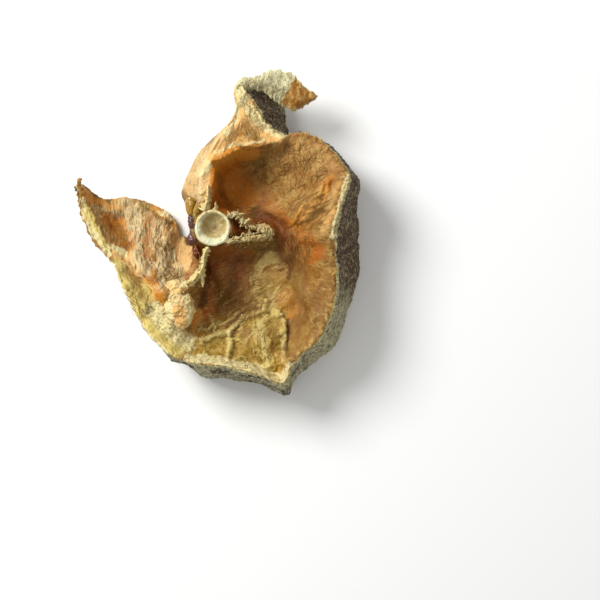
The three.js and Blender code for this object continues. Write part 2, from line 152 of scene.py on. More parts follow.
# The line above which the neck of the upper flap stays level, and how far from the belly wall a bowl begins.
NECK_LINE = [(-8, 17), (-0.4, 22.6), (7.9, 27), (17.6, 29), (24.5, 31), (30, 40)]
LEVEL = [0] * 16 + [1, 3.2, 4.6, 5, 3, 0, 0, 0]
WALL_FOLDS = {
    "first lining fold": (1.6, 2.2, -28.4, 10, -27.7, 1, -28.8, -8, -26.3, -14.4),
    "second lining fold": (1.3, 1.8, -19, 4.7, -18, -4.3, -19, -12.2, -18, -17),
    "flap pit": (-3.2, 3.4, -37.5, 4, -35, -1, -31, -6),
}
RIPPLES = [(0.55, 0.31, 1.3, 0.3), (-0.27, 0.62, 0, 0.26), (0.9, -0.75, 2.1, 0.2)]

# Where each stain lies, and where glow and shade are painted: strokes of half a width, a strength from 0 to 1,
# and x and y of each point in plan.
STAINS = {
    "umber": [
        (7.5, 1.0, 0, 21, 4, 14, 7, 8, 11, 4), (9, 0.5, 6, 22, 14, 12, 18, 5),
        (5.0, 1.0, 17, 3.4, 22, 2.6, 26, 0.4, 30, -3, 36, -9), (3.0, 1.0, 20, 3, 23, 0.6, 26, -3),
        (7, 1.0, 1, -10, 3, -16, 4, -24, 2, -30), (8, 0.9, 9, -10, 11, -17, 10, -26), (6, 0.7, 2, -28, 10, -28),
        (3.5, 0.6, -3, -30, -2.5, -37), (3.6, 0.85, -38, 3, -35, -3, -31, -7),
        (1.5, 0.55, -25.4, 4, -25, -6, -24, -13), (2.2, 0.4, 8, 30.5, 14, 29, 20, 30), (4, 0.4, 24, -20, 29, -24),
        (1.6, 0.5, -16.4, 9.6, -13, 3, -12.4, -1),
    ],
    # The next strokes lay the flesh's orange, brightest where the flesh is thin: a painted glow that stands in for
    # light shining through thin flesh.
    "blaze": [
        (7, 0.9, 1, 14, 5, 9, 9, 6), (6, 0.6, 3, 22, 7, 17, 11, 13), (2.6, 1.0, 1, 24.8, 8, 26.8, 15, 27),
        (1.9, 1.0, 28, -0.7, 32, 5.4, 38.5, 10, 40.3, 14.4, 42, 18), (3, 0.4, 32, 1, 38, 3, 42, 4),
        (4, 0.35, 33, -8, 36, -14, 36, -20), (3, 1.0, -6.6, -31, -6, -38, -7, -43), (4.5, 0.7, 26, -24, 28, -30),
        (2.6, 0.9, 22, -45, 24.5, -52), (2.4, 0.5, 2, -43, 14, -42), (3.6, 0.7, -35, 1.5, -32.4, -1.4, -30.6, -6),
        (2.6, 0.8, -47, 12, -43, 9.6, -38, 8), (2.0, 1.0, -21, 9.6, -16, 6, -13.4, 1),
        (3.2, 0.7, -23, -19, -20.2, -24, -19.6, -29), (2.0, 0.7, -4, 18, -2.5, 12),
        (3.4, 0.85, 7, 33, 11, 37, 11.6, 44), (2.5, 0.6, 0, 8, 6, 5.6), (1.6, 0.6, -24, -34, -19, -40),
    ],
    "olive": [
        (7, 0.65, 4, -22, 10, -26), (5.5, 0.7, 4, -29, 12, -26, 18, -22), (4, 0.6, 14, -12, 15, -20),
        (4, 0.6, -4, -36, 4, -34, 12, -31), (5, 0.6, 22, -20, 26, -26, 28, -20), (3, 0.5, -2, -41, 10, -42),
        (4, 0.5, -37, 0, -33, -6), (2.6, 0.8, 8, -5.5, 18, -6, 24, -7), (4, 0.6, 0, -37, 8, -34),
    ],
    "fat": [
        (5.5, 0.85, -6, -43, 4, -42, 14, -45, 22, -50), (6, 0.7, 14, -33, 22, -32, 24, -40),
        (5, 0.7, -30, -22, -24, -30, -16, -38), (2.4, 1.0, -8, 9.5, -7.5, 5.5), (5, 0.35, 20, -17, 27, -19),
    ],
    "honey": [
        (4.2, 1.0, 10.8, 50, 11, 44, 7.9, 37, 0.7, 29.4), (3.2, 0.9, 13.3, 41, 17.6, 35.6, 21.6, 32.6),
        (2.8, 0.9, -1.1, 27.4, -3.4, 22.7, -3.6, 16, -3, 12), (3.2, 0.9, -9.7, 18, -8.4, 12),
        (4.5, 0.85, -7, 33, -6.6, 27, -7.6, 21), (2.6, 0.6, 2, 33, 6, 31, 12, 31), (3, 0.5, -40, 9, -35, 9),
        (2.6, 0.5, -31, -8, -28, -14), (2.4, 0.45, 44, 16, 42, 8, 40, -1),
    ],
    "salmon": [
        (4.0, 1.0, -15.4, -1.4, -13.2, -7, -12, -13), (2.2, 0.6, -36, -9.4, -31.7, -12.2, -26.6, -15.8),
        (1.5, 0.7, 14, 42, 19, 35.5, 23, 32),
    ],
    "butter": [
        (3.6, 0.7, -35, -14, -29.5, -25, -24, -34, -16, -42.6), (3.4, 0.55, -24, -22, -22, -30, -15, -38),
        (3.2, 0.6, 16, -35, 18, -43, 20, -49), (4.4, 0.95, -21, -35, -13, -43),
        (1.3, 0.8, -46.8, 8, -42.6, -2, -38.4, -8),
    ],
    "rose": [
        (6, 0.55, 28, 30, 38, 26, 42, 20), (7, 0.3, 24, 24, 32, 16), (1.6, 0.9, -4.4, 16, -4, 8),
        (3.6, 0.9, -24, 4, -23, -5, -22.6, -13), (3.0, 0.5, -14, 0, -13, -8, -12.4, -13), (4.5, 0.4, 6, -8, 11, -14),
        (3, 0.5, -11.5, -26, -12.5, -33),
    ],
    "haze": [
        (6.5, 0.6, 21, 20, 27, 15, 32, 9), (3.5, 0.6, 10, 7, 20, 6), (7, 0.7, 26, 28, 36, 24),
        (4, 0.5, 38, 12, 42, 6),
    ],
    "loose": [
        (3.0, 0.75, 26.4, -10, 24.6, -11, 20, -10.6), (2.0, 0.9, 19, -11, 15.8, -14.4, 14.6, -18.4),
        (1.6, 0.75, 14.8, -20, 15.4, -23.5, 17, -26),
        (1.1, 0.9, -6, -40.6, -1, -38.6, 5.4, -36.8, 9.7, -33, 14, -29.6, 19, -26),
        (0.9, 0.7, -6, -37, 0, -35, 4, -34.6, 9, -30, 15, -27.4), (1.1, 0.9, 5.4, -37.4, 5.7, -41, 5, -46.5),
        (1.3, 0.8, 18, -27, 19, -31, 17.6, -37), (1.8, 0.6, 24, -22, 20, -26, 22, -31),
        (1.0, 0.7, 20, -29, 24, -31, 26.4, -36, 25.6, -44),
    ],
    "silver": [
        (3.4, 1.0, -33, 10.4, -30.8, 8, -30.4, 4.6), (2.6, 1.0, -29, 3.6, -28.6, -4.4, -27.4, -11, -23.4, -16),
        (2.6, 0.9, -20.6, 2.4, -19, -3, -17.6, -9, -18.6, -15), (2.2, 0.45, -26, 8, -23, 2, -21.6, -6),
        (2.0, 0.75, -19.2, -20.6, -17, -16, -13.4, -15.6, -11.2, -18.6), (1.2, 0.6, -41, 7, -35, 5.6),
        (1.5, 0.7, 1.4, 31, 5, 35, 8.6, 42), (3.4, 0.8, -7, 28, -4.4, 20, -4.4, 12),
    ],
    "cream": [
        (2.0, 0.7, -6, 27.5, -1.5, 22, -4, 20), (1.4, 0.8, -12.6, 15, -11, 19, -9, 20),
        (0.9, 0.8, 4.6, 33, 8.4, 38, 9.4, 47),
        (2.3, 1.0, 9.6, 50.6, 9.9, 47, 12.4, 43.6, 15.6, 39.6, 19.4, 36, 24.6, 33.8),
        (1.4, 1.0, 49, 19, 47, 12, 45.4, 6.4, 43.4, -3),
        (1.9, 1.0, -9, -47, 2.5, -48, 14.4, -50.6, 25.4, -55, 27.5, -50),
        (0.9, 0.3, -4.5, -40, 5.4, -37.4, 9.7, -33, 17.6, -29.5, 19, -26), (0.7, 0.4, 5.4, -37.4, 5, -46.5),
        (1.7, 0.35, 16.2, -35, 17.6, -42, 19.8, -50), (0.6, 0.5, 24.4, -31, 26, -36, 25.6, -41, 24.4, -48),
        (0.9, 1.0, -48.2, 11, -47, 4, -42, -5, -37.6, -10), (0.8, 0.7, -37, -13, -31, -25, -25.4, -36, -16, -45),
        (3.6, 0.95, -22, -30, -15, -37, -9, -42), (1.6, 0.8, -20, -28, -17.4, -34, -13, -38),
        (1.2, 0.8, -37.6, -6, -32.4, -9.4), (1.4, 0.9, -19.8, 8.4, -16.2, 6.2), (2.0, 0.8, -9, -20, -12, -20),
        (1.4, 0.5, -6, 22, -4.6, 16, -5, 11), (0.9, 0.6, 0.4, 27.2, 5, 28.6, 9, 29.6, 13.3, 30.4, 18, 31.4),
    ],
    # Dark brown in crevices, in the pit past the arch, beside flake walls and under the loose sheet's edges: painted
    # shade and painted shadow. Its broad strokes over the lower loin darken the flesh there.
    "peat": [
        (5.4, 0.85, 16, 4.4, 20.5, 2.4, 24, -0.6, 26, -4.4, 27, -9), (8, 0.42, 2, -10, 5, -20, 6, -28),
        (7, 0.5, 10, -14, 12, -26), (9, 0.42, 30, -12, 35, -20, 33, -30), (8, 0.3, 14, -36, 22, -42),
        (2.2, 0.45, -33, -13, -28, -22, -22, -31), (1.0, 0.6, 26, -6, 28, -12, 27, -18),
        (1.0, 0.8, 27, -33, 27.4, -38, 26, -44), (1.8, 0.5, 2, 19, 3, 12, 6, 8),
        (2.0, 0.7, -3.5, -12, -3, -20, -5, -28), (1.4, 0.55, -37.6, 2.6, -35.4, -1, -32, -3),
        (0.8, 0.5, -26.5, -16, -22, -18.6), (0.8, 0.6, 4, -35.6, 10, -31, 16, -28.6),
        (1.0, 0.5, 8, 29.4, 14, 28, 21, 29.4), (0.6, 0.5, -19, 9.4, -15, 6.6, -12.8, 2),
        (0.9, 0.5, 14, -7, 20, -7.4, 26, -8),
    ],
    "blood": [
        (1.9, 1.0, -6.2, -7.5, -6.6, -12, -8, -17), (2.4, 1.0, 8, 1.5, 10.5, 0, 8.5, -1.5),
    ],
    "ink": [
        (2.0, 1.0, -9, 4.2, -8.4, 0, -9, -4, -8, -6.5),
    ],
    "ash": [
        (2.6, 1.0, 8.6, 51, 10, 54, 17, 56),
    ],
    "glaze": [
        (4.4, 0.55, -14.6, -1, -12.8, -8, -11.6, -13), (3.0, 0.7, -12, 17, -8, 11), (4.4, 0.7, -36, 0, -31, -5),
        (5.0, 0.5, 10, 34, 13, 40), (3.4, 0.8, -6, 20, 0, 30, 8, 44), (3.0, 0.7, -22, -20, -19.6, -28),
    ],
}
SKIN_STAINS = {
    "dusk": [
        (20, 1.0, 46, 22, 50, 10, 53, -2, 52, -8), (18, 0.45, 52, -18, 47, -34),
        (7, 1.0, 13.6, 48, 17, 46, 20, 42, 24, 38, 27, 34), (3.5, 0.4, 2, -54, 16, -57),
    ],
    "moss": [
        (8, 1.0, -18, -42, -6, -50, 8, -55, 26, -60), (6, 0.8, -40, 0, -30, -20),
    ],
    "ash": [
        (2.4, 1.0, 9, 53, 14, 53.4, 20, 54), (9, 0.5, 40, -42, 50, -30),
    ],
}


# ---------------------------------------------------------------- numbers, curves and noise

def smooth(low, high, x):
    """0 below low, 1 above high, and 3t² - 2t³ between, with t the share of the way."""
    t = np.clip((x - low) / (high - low), 0, 1)
    return t * t * (3 - 2 * t)


def bell(distance, width):
    """1 at no distance, falling as e to the minus square of the distance over the width."""
    return np.exp(-(distance / width) ** 2)


def follow(values, u):
    """A smooth curve through rows of values at places u: the cubic whose slope at a row is half the step over it."""
    values = np.asarray(values, float)
    last = len(values) - 1
    i = np.clip(np.floor(u).astype(int), 0, last - 1)
    t = (u - i).reshape(-1, *[1] * (values.ndim - 1))
    p0, p1, p2, p3 = (values[np.clip(i + step, 0, last)] for step in (-1, 0, 1, 2))
    return 0.5 * (2 * p1 + (p2 - p0) * t + (2 * p0 - 5 * p1 + 4 * p2 - p3) * t ** 2
                  + (3 * p1 - p0 - 3 * p2 + p3) * t ** 3)


def distance_to(line, xy):
    """The distance in plan from each point to a line, given as x and y of one point after another: the least over
    its straight stretches."""
    nearest = np.full(xy.shape[:-1], np.inf)
    line = np.reshape(line, (-1, 2)).astype(float)
    for start, end in zip(line[:-1], line[1:]):
        run = end - start
        along = np.clip(((xy - start) @ run) / (run @ run), 0, 1)
        nearest = np.minimum(nearest, np.linalg.norm(xy - start - along[..., None] * run, axis=-1))
    return nearest


def scatter(cell, seed):
    """A whole number for each cell that looks drawn by lot: its three numbers times odd constants, mixed by shifts."""
    h = cell[..., 0] * 374761393 + cell[..., 1] * 668265263 + cell[..., 2] * 1442695041 + seed * 362437
    h = ((h ^ (h >> 13)) * 1274126177) & 0xFFFFFFFF
    return (h ^ (h >> 16)) & 0xFFFFFF


def noise(points, seed=0):
    """Gradient noise from -1 to 1: each corner of a unit cell has a slope drawn by lot, and the eight planes
    are blended by 6t⁵ - 15t⁴ + 10t³."""
    cell = np.floor(points).astype(np.int64)
    part = points - cell
    fade = part ** 3 * (part * (part * 6 - 15) + 10)
    total = np.zeros(points.shape[:-1])
    for corner in np.ndindex(2, 2, 2):
        drawn = scatter(cell + corner, seed)
        slope = np.stack([(drawn & 255), (drawn >> 8) & 255, (drawn >> 16) & 255], -1) / 127.5 - 1
        plane = ((part - corner) * slope).sum(-1)
        weight = np.prod(np.where(np.array(corner) == 1, fade, 1 - fade), -1)
        total += weight * plane
    return total * 1.4


def fractal(points, size, octaves=4, seed=0, keep=0.5):
    """A sum of noises, each of half the size of the one before and keep times its strength. size is in mm."""
    total, strength, scaled = 0, 1.0, points / size
    for octave in range(octaves):
        total = total + strength * noise(scaled, seed + octave)
        strength *= keep
        scaled = scaled * 2.03 + 17.3
    return total


def fractals(points, size, octaves, seeds, keep=0.5):
    """One such sum of noises for each seed, on a last axis: a push in as many directions."""
    return np.stack([fractal(points, size, octaves, seed, keep) for seed in seeds], -1)


def ridged(points, size, octaves=4, seed=0):
    """Sharp crests, from 0 to 1: one less the noise's size, squared, summed over halving sizes."""
    total, strength, weight, scaled = 0, 0.55, 0, points / size
    for octave in range(octaves):
        total = total + strength * (1 - np.minimum(1, np.abs(noise(scaled, seed + octave)))) ** 2.5
        weight += strength
        strength *= 0.55
        scaled = scaled * 2.1 + 9.1
    return total / weight


# ---------------------------------------------------------------- meshes from grids of points

def grid_faces(rows, sides, start=0, caps=True):
    """Quads over rows of points that each close on themselves, and a fan to a point at each end."""
    row, side = np.meshgrid(np.arange(rows - 1), np.arange(sides), indexing="ij")
    after = (side + 1) % sides
    quads = np.stack([row * sides + side, row * sides + after, (row + 1) * sides + after, (row + 1) * sides + side], -1)
    quads = quads.reshape(-1, 4) + start
    if not caps:
        return quads, np.zeros((0, 3), int)
    ring = np.arange(sides)
    turned = (ring + 1) % sides
    first, last = rows * sides, rows * sides + 1
    fans = [np.stack([np.full(sides, first), turned, ring], -1),
            np.stack([np.full(sides, last), (rows - 1) * sides + ring, (rows - 1) * sides + turned], -1)]
    return quads, np.concatenate(fans) + start


def volume(points, quads, triangles):
    """The enclosed volume: a sixth of the sum of each triangle's corners' triple product."""
    all_triangles = np.concatenate([triangles, quads[:, [0, 1, 2]], quads[:, [0, 2, 3]]])
    a, b, c = (points[all_triangles[:, k]] for k in range(3))
    return np.einsum("ij,ij->i", a, np.cross(b, c)).sum() / 6


class Skin:
    """Points, faces and values at the points, gathered from any number of closed grids."""

    def __init__(self):
        self.points, self.quads, self.triangles = [], [], []
        self.values, self.quad_slots, self.cap_smooth, self.count = [], [], [], 0

    def add_grid(self, grid, values=None, slots=None, round_caps=True, cap_height=(1, 1)):
        """grid is rows by sides by 3, in mm. values are arrays of rows by sides, slots a material for each side."""
        self.add_many(grid[None], {key: np.broadcast_to(value, grid.shape[:2])[None]
                                   for key, value in (values or {}).items()}, slots, round_caps, cap_height)

    def add_many(self, grids, values=None, slots=None, round_caps=True, cap_height=(1, 1)):
        """The same as add_grid for a stack of grids of one size, with a leading axis on grids and values. The
        middle of each end is the mean of its ring, with its z multiplied by cap_height."""
        count, rows, sides = grids.shape[:3]
        ends = np.concatenate([grids[:, :1].mean(2), grids[:, -1:].mean(2)], 1)
        ends[..., 2] *= cap_height
        points = np.concatenate([grids.reshape(count, rows * sides, 3), ends], 1)
        quads, triangles = grid_faces(rows, sides)
        if volume(points[0] - points[0].mean(0), quads, triangles) < 0:
            quads, triangles = quads[:, ::-1], triangles[:, ::-1]
        held = {}
        for key, value in (values or {}).items():
            value = np.broadcast_to(value, (count, rows, sides))
            held[key] = np.concatenate([value.reshape(count, -1), value[:, 0].mean(1)[:, None],
                                        value[:, -1].mean(1)[:, None]], 1).ravel()
        shift = self.count + (np.arange(count) * points.shape[1])[:, None, None]
        side_slot = np.zeros(sides, int) if slots is None else np.asarray(slots)
        self.quad_slots.append(np.tile(side_slot, (rows - 1) * count))
        self.cap_smooth.append(np.full(len(triangles) * count, round_caps))
        self.points.append(points.reshape(-1, 3))
        self.values.append(held)
        self.quads.append((quads[None] + shift).reshape(-1, 4))
        self.triangles.append((triangles[None] + shift).reshape(-1, 3))
        self.count += points.shape[0] * points.shape[1]

    def column(self, key):
        """One value for each point, 0 where a grid holds none of that name."""
        return np.concatenate([held.get(key, np.zeros(len(p))) for held, p in zip(self.values, self.points)])

    def build(self, name, materials, nodes=()):
        """Puts the gathered points and faces into a mesh object that rides on the root body."""
        points = (np.concatenate(self.points) + SPINE) * MM
        quads, triangles = np.concatenate(self.quads), np.concatenate(self.triangles)
        mesh = bpy.data.meshes.new(name)
        mesh.vertices.add(len(points))
        mesh.vertices.foreach_set("co", points.astype(np.float32).ravel())
        corners = np.concatenate([quads.ravel(), triangles.ravel()])
        mesh.loops.add(len(corners))
        mesh.loops.foreach_set("vertex_index", corners.astype(np.int32))
        starts = np.concatenate([np.arange(len(quads)) * 4, len(quads) * 4 + np.arange(len(triangles)) * 3])
        mesh.polygons.add(len(starts))
        mesh.polygons.foreach_set("loop_start", starts.astype(np.int32))
        slots = np.concatenate([*self.quad_slots, np.zeros(len(triangles), int)])
        mesh.polygons.foreach_set("material_index", slots.astype(np.int32))
        mesh.polygons.foreach_set("use_smooth", np.concatenate([np.ones(len(quads), bool), *self.cap_smooth]))
        for key in sorted({key for held in self.values for key in held} - {"grain_x", "grain_y"}):
            layer = mesh.attributes.new(key, "FLOAT", "POINT")
            layer.data.foreach_set("value", self.column(key).astype(np.float32))
        grain = np.stack([self.column("grain_x"), self.column("grain_y")], -1)
        layer = mesh.uv_layers.new(name="grain")
        layer.data.foreach_set("uv", grain[corners].astype(np.float32).ravel())
        mesh.update(calc_edges=True)
        mesh.validate()
        piece = bpy.data.objects.new(name, mesh)
        bpy.context.scene.collection.objects.link(piece)
        for material in materials:
            mesh.materials.append(bpy.data.materials[material])
        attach(piece, "root")
        if nodes:
            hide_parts(*nodes)
        return piece


def normals_of(grid):
    """The outward direction at each point of a ring grid: the cross product of the steps along and round it."""
    along = np.gradient(grid, axis=0)
    around = np.roll(grid, -1, 1) - np.roll(grid, 1, 1)
    cross = np.cross(around, along)
    cross /= np.linalg.norm(cross, axis=-1, keepdims=True) + 1e-9
    return cross


# ---------------------------------------------------------------- the slice

CUT_STEPS, SKIN_STEPS, BASE_STEPS, WALL_STEPS = 148, 42, 12, 56
CUT, SKIN, BASE, WALL = range(4)
ROWS, SPARE = 378, 6
SPLIT = 14
# How often a height is blurred to find its crests and its broad swells, and the height in mm that counts as full.
CREST_BLUR, CREST_FULL = 8, 0.16
SWELL_BLUR, SWELL_FULL = 60, 0.5
STAIN_SWAY = 3.5


def even_rows(first, last, before, after):
    """Places u at equal steps along the mean of the rim, hem, inner and root curves, with spare ones outside."""
    fine = np.linspace(0, len(SECTIONS) - 1, 4000)
    step = 0
    for which, share in ((RIM, 0.45), (HEM, 0.15), (INNER, 0.2), (ROOT, 0.2)):
        step = step + share * np.linalg.norm(np.diff(follow(SECTIONS[:, which], fine), axis=0), axis=1)
    length = np.concatenate([[0], np.cumsum(step)])
    low, high = np.interp([first, last], fine, length)
    wanted = low + (high - low) / (ROWS - 1) * np.arange(-before, ROWS + after)
    return np.interp(wanted, length, fine)


def sink(u, v, wall_edge, skin_edge):
    """How far a cut face has sunk: the section's depth, times a smooth step up from the belly wall, from the
    bone and from the skin, and a little less on the way to the rim."""
    across = np.linalg.norm((skin_edge - wall_edge)[:, :2], axis=1)[:, None]
    plan = wall_edge[:, None, :2] + (skin_edge - wall_edge)[:, None, :2] * v[..., None]
    beside_bone = smooth(BONE_RADIUS - 1, BONE_RADIUS + 5, np.linalg.norm(plan, axis=-1))
    level = follow(LEVEL, u)[:, None]
    beside_wall = smooth(level, level + 6 - 0.4 * level, v * across)
    neck = np.interp(plan[..., 0], *np.transpose(NECK_LINE)) - plan[..., 1]
    beside_wall = beside_wall * smooth(-0.5, 5, neck)
    beside_skin = smooth(0, follow(SECTIONS[:, CLIMB], u)[:, None], (1 - v) * across)
    depth = np.maximum(0, follow(SECTIONS[:, BOWL], u))[:, None] * (1 - 0.35 * smooth(0.3, 0.9, v))
    return depth * beside_bone * beside_wall * beside_skin


def banks(folds, xy):
    """The sum of the folds' heights, each times a bell curve over the distance to the fold's line."""
    return sum(height * bell(distance_to(line, xy), width) for height, width, *line in folds.values())


def relief(folds, xy):
    """The banks along the folds' lines and three slanting sine waves."""
    waves = sum(height * np.sin(kx * xy[..., 0] + ky * xy[..., 1] + phase) for kx, ky, phase, height in RIPPLES)
    return banks(folds, xy) + waves


def bent(grid):
    """The plan, pushed about by noise of 5 mm and smaller, so that folds and the stains on them bend together."""
    return grid[..., :2] + fractals(grid * (1, 1, 0), 5, 4, (21, 27), 0.55) * 0.9


def slice_grid(u):
    """Rows by ring points of the closed surface. Each ring goes over the cut face from inner to rim, down the
    skin to the hem, under the lower cut face to the root and up the belly wall. Returns the points, the face
    that each ring point is on, the share v of the way over that face, and how high the folds stand."""
    inner, rim, hem, root = (follow(SECTIONS[:, which], u) for which in (INNER, RIM, HEM, ROOT))
    outward = (rim - inner)[:, :2]
    outward = outward / np.linalg.norm(outward, axis=1, keepdims=True)
    torn = 1 - 0.6 * bell(u - 4.5, 2.5)[:, None]
    rim_frayed = fractals(rim, 3.5, 3, (201, 211, 221)) * (0.5, 0.5, 0.6) * torn
    inner_frayed = fractals(inner, 3.5, 3, (231, 241, 251)) * (0.35, 0.35, 0.6)
    shares = [np.arange(steps) / steps for steps in (CUT_STEPS, SKIN_STEPS, BASE_STEPS, WALL_STEPS)]
    face = np.repeat([CUT, SKIN, BASE, WALL], [len(share) for share in shares])

    def between(a, b, v, a_frayed=0, b_frayed=0, reach=0.12):
        """Straight from a at v = 0 to b at v = 1, with each edge's noise added on the near share, reach."""
        straight = a[:, None] + (b - a)[:, None] * v[None, :, None]
        for frayed, near in ((a_frayed, smooth(reach, 0, v)), (b_frayed, smooth(1 - reach, 1, v))):
            if np.ndim(frayed):
                straight = straight + frayed[:, None] * near[None, :, None]
        return straight

    v = shares[CUT]
    cut = between(inner, rim, v, inner_frayed, rim_frayed)
    plan = bent(cut)
    ends = smooth(0, 0.1, v) * smooth(1, 0.92, v)
    broken = np.maximum(0, 0.6 + 0.9 * fractal(cut * (1, 1, 0), 2.5, 2, 29))
    cut_raised = (relief(CUT_FOLDS, plan) + banks(CREST_FOLDS, plan) * broken) * ends
    under_bone = BONE_HOLE * smooth(BONE_RADIUS + 0.3, BONE_RADIUS - 0.9, np.linalg.norm(cut[..., :2], axis=-1))
    cut[..., 2] += cut_raised - sink(u, np.broadcast_to(v, cut.shape[:2]), inner, rim) - under_bone

    v = shares[SKIN]
    side = between(rim, hem, v, rim_frayed, reach=0.4)
    buckle = 0.7 * (np.sin(5.3 * u[:, None]) + np.sin(3.1 * u[:, None] + 4 * v))
    side[..., :2] += outward[:, None] * ((1.5 + buckle) * np.sin(np.pi * v))[..., None]
    side[..., 2] -= 5.0 * bell(u - HOLLOW_FLAP_AT, 1.5)[:, None] * np.sin(np.pi * v)

    v = shares[BASE]
    base = between(hem, root, v)
    base[..., 2] += np.maximum(0, 0.3 * sink(u, np.broadcast_to(1 - v, base.shape[:2]), root, hem) - 0.7)
    base[..., 2] *= 1 - bell(u - HOLLOW_FLAP_AT, 1.8)[:, None] * np.sin(np.pi * v)

    v = shares[WALL]
    wall = between(root, inner, v, 0, inner_frayed, reach=0.3)
    dish = 2.6 * bell(u - HOLLOW_FLAP_AT, HOLLOW_FLAP_REACH)[:, None] * np.sin(np.pi * v) ** 2
    wall_raised = relief(WALL_FOLDS, wall[..., :2]) * smooth(0, 0.15, v) * smooth(1, 0.85, v)
    wall[..., 2] += wall_raised - dish

    grid = np.concatenate([cut, side, base, wall], axis=1)
    raised = np.concatenate([cut_raised, np.zeros(side.shape[:2]), np.zeros(base.shape[:2]), wall_raised], axis=1)
    return grid, face, np.concatenate(shares), raised


def soften_corners(grid, face, v, passes=6):
    """Rounds the four edges of the ring: near them, each point moves half-way to its neighbours' mean, and
    that is done several times over."""
    reach = {CUT: 0.015, SKIN: 0.05, BASE: 0.1, WALL: 0.04}
    near = np.array([max(bell(part, reach[f]), bell(1 - part, reach[f])) for f, part in zip(face, v)])
    for _ in range(passes):
        mean = (np.roll(grid, 1, 1) + np.roll(grid, -1, 1)) / 2
        grid = grid + (mean - grid) * 0.5 * near[None, :, None]
    return grid


def stain_masks(stains, pushed):
    """For each stain, its strokes' masks joined: one less the product of what each stroke leaves bare. A stroke is
    full on its line and fades out at its half width."""
    masks = {}
    for name, strokes in stains.items():
        bare = 1.0
        for width, strength, *line in strokes:
            bare = bare * (1 - strength * smooth(1.25, 0.35, distance_to(line, pushed) / width))
        masks[name] = 1 - bare
    return masks


def grain_of(grid):
    """Coordinates across and along the dried fibres in mm. They run outwards from the backbone, and past the
    crease of the upper loin outwards from it; over the lower loin and the neck they are straight lines, and on
    the lower flap they are circles about a point above the bone."""
    bend = 2.2 * fractals(grid * (1, 1, 0), 14, 2, (53, 57))
    x, y = grid[..., 0] + bend[..., 0], grid[..., 1] + bend[..., 1]
    across, along = 44 * np.arctan2(y, x + 6), np.hypot(x + 6, y)

    def straight(turn):
        """Across and along lines in one direction: the plan, turned by that angle."""
        c, s = math.cos(turn), math.sin(turn)
        return s * x - c * y, c * x + s * y

    flap = smooth(-9, -14, x) * smooth(24, 18, y)
    for share, (over, run) in (
            (smooth(25, 33, x) * smooth(-8, -2, y), (22 * np.arctan2(y, x - 23), np.hypot(x - 23, y))),
            (smooth(-4, -12, y) * (1 - flap) * smooth(34, 26, x), straight(0.62)),
            (flap, (np.hypot(x - 15, y - 5), 30 * np.arctan2(y - 5, 15 - x))),
            (smooth(18, 25, y + 0.3 * x) * smooth(22, 14, x), straight(-1.15))):
        across = across * (1 - share) + over * share
        along = along * (1 - share) + run * share
    return across, along


def cell_walls(grid):
    """Thin walls between the flakes of the lower loin, from 0 to 1: high where a noise crosses its middle value,
    so that they close round irregular cells, and broken up by a broader noise."""
    x, y = grid[..., 0], grid[..., 1]
    zone = smooth(-9, -4, x) * smooth(-23, -30, y + 0.25 * x) * smooth(30, 26, x)
    twigs = smooth(-8, -3, x) * smooth(-16, -22, y + 0.1 * x) * smooth(-36, -31, y - 0.5 * x) * smooth(24, 18, x)
    flat = grid * (1, 1, 0)
    pushed = flat + 0.8 * fractal(flat, 3, 3, 61)[..., None]
    broad = zone * bell(noise(pushed / 5.2, 63) / 0.08, 1) * smooth(-0.25, 0.35, fractal(grid, 4, 2, 67))
    fine = twigs * bell(noise(pushed / 2.6, 65) / 0.1, 1) * smooth(-0.1, 0.4, fractal(grid, 3, 2, 69))
    return np.maximum(broad, 0.8 * fine)


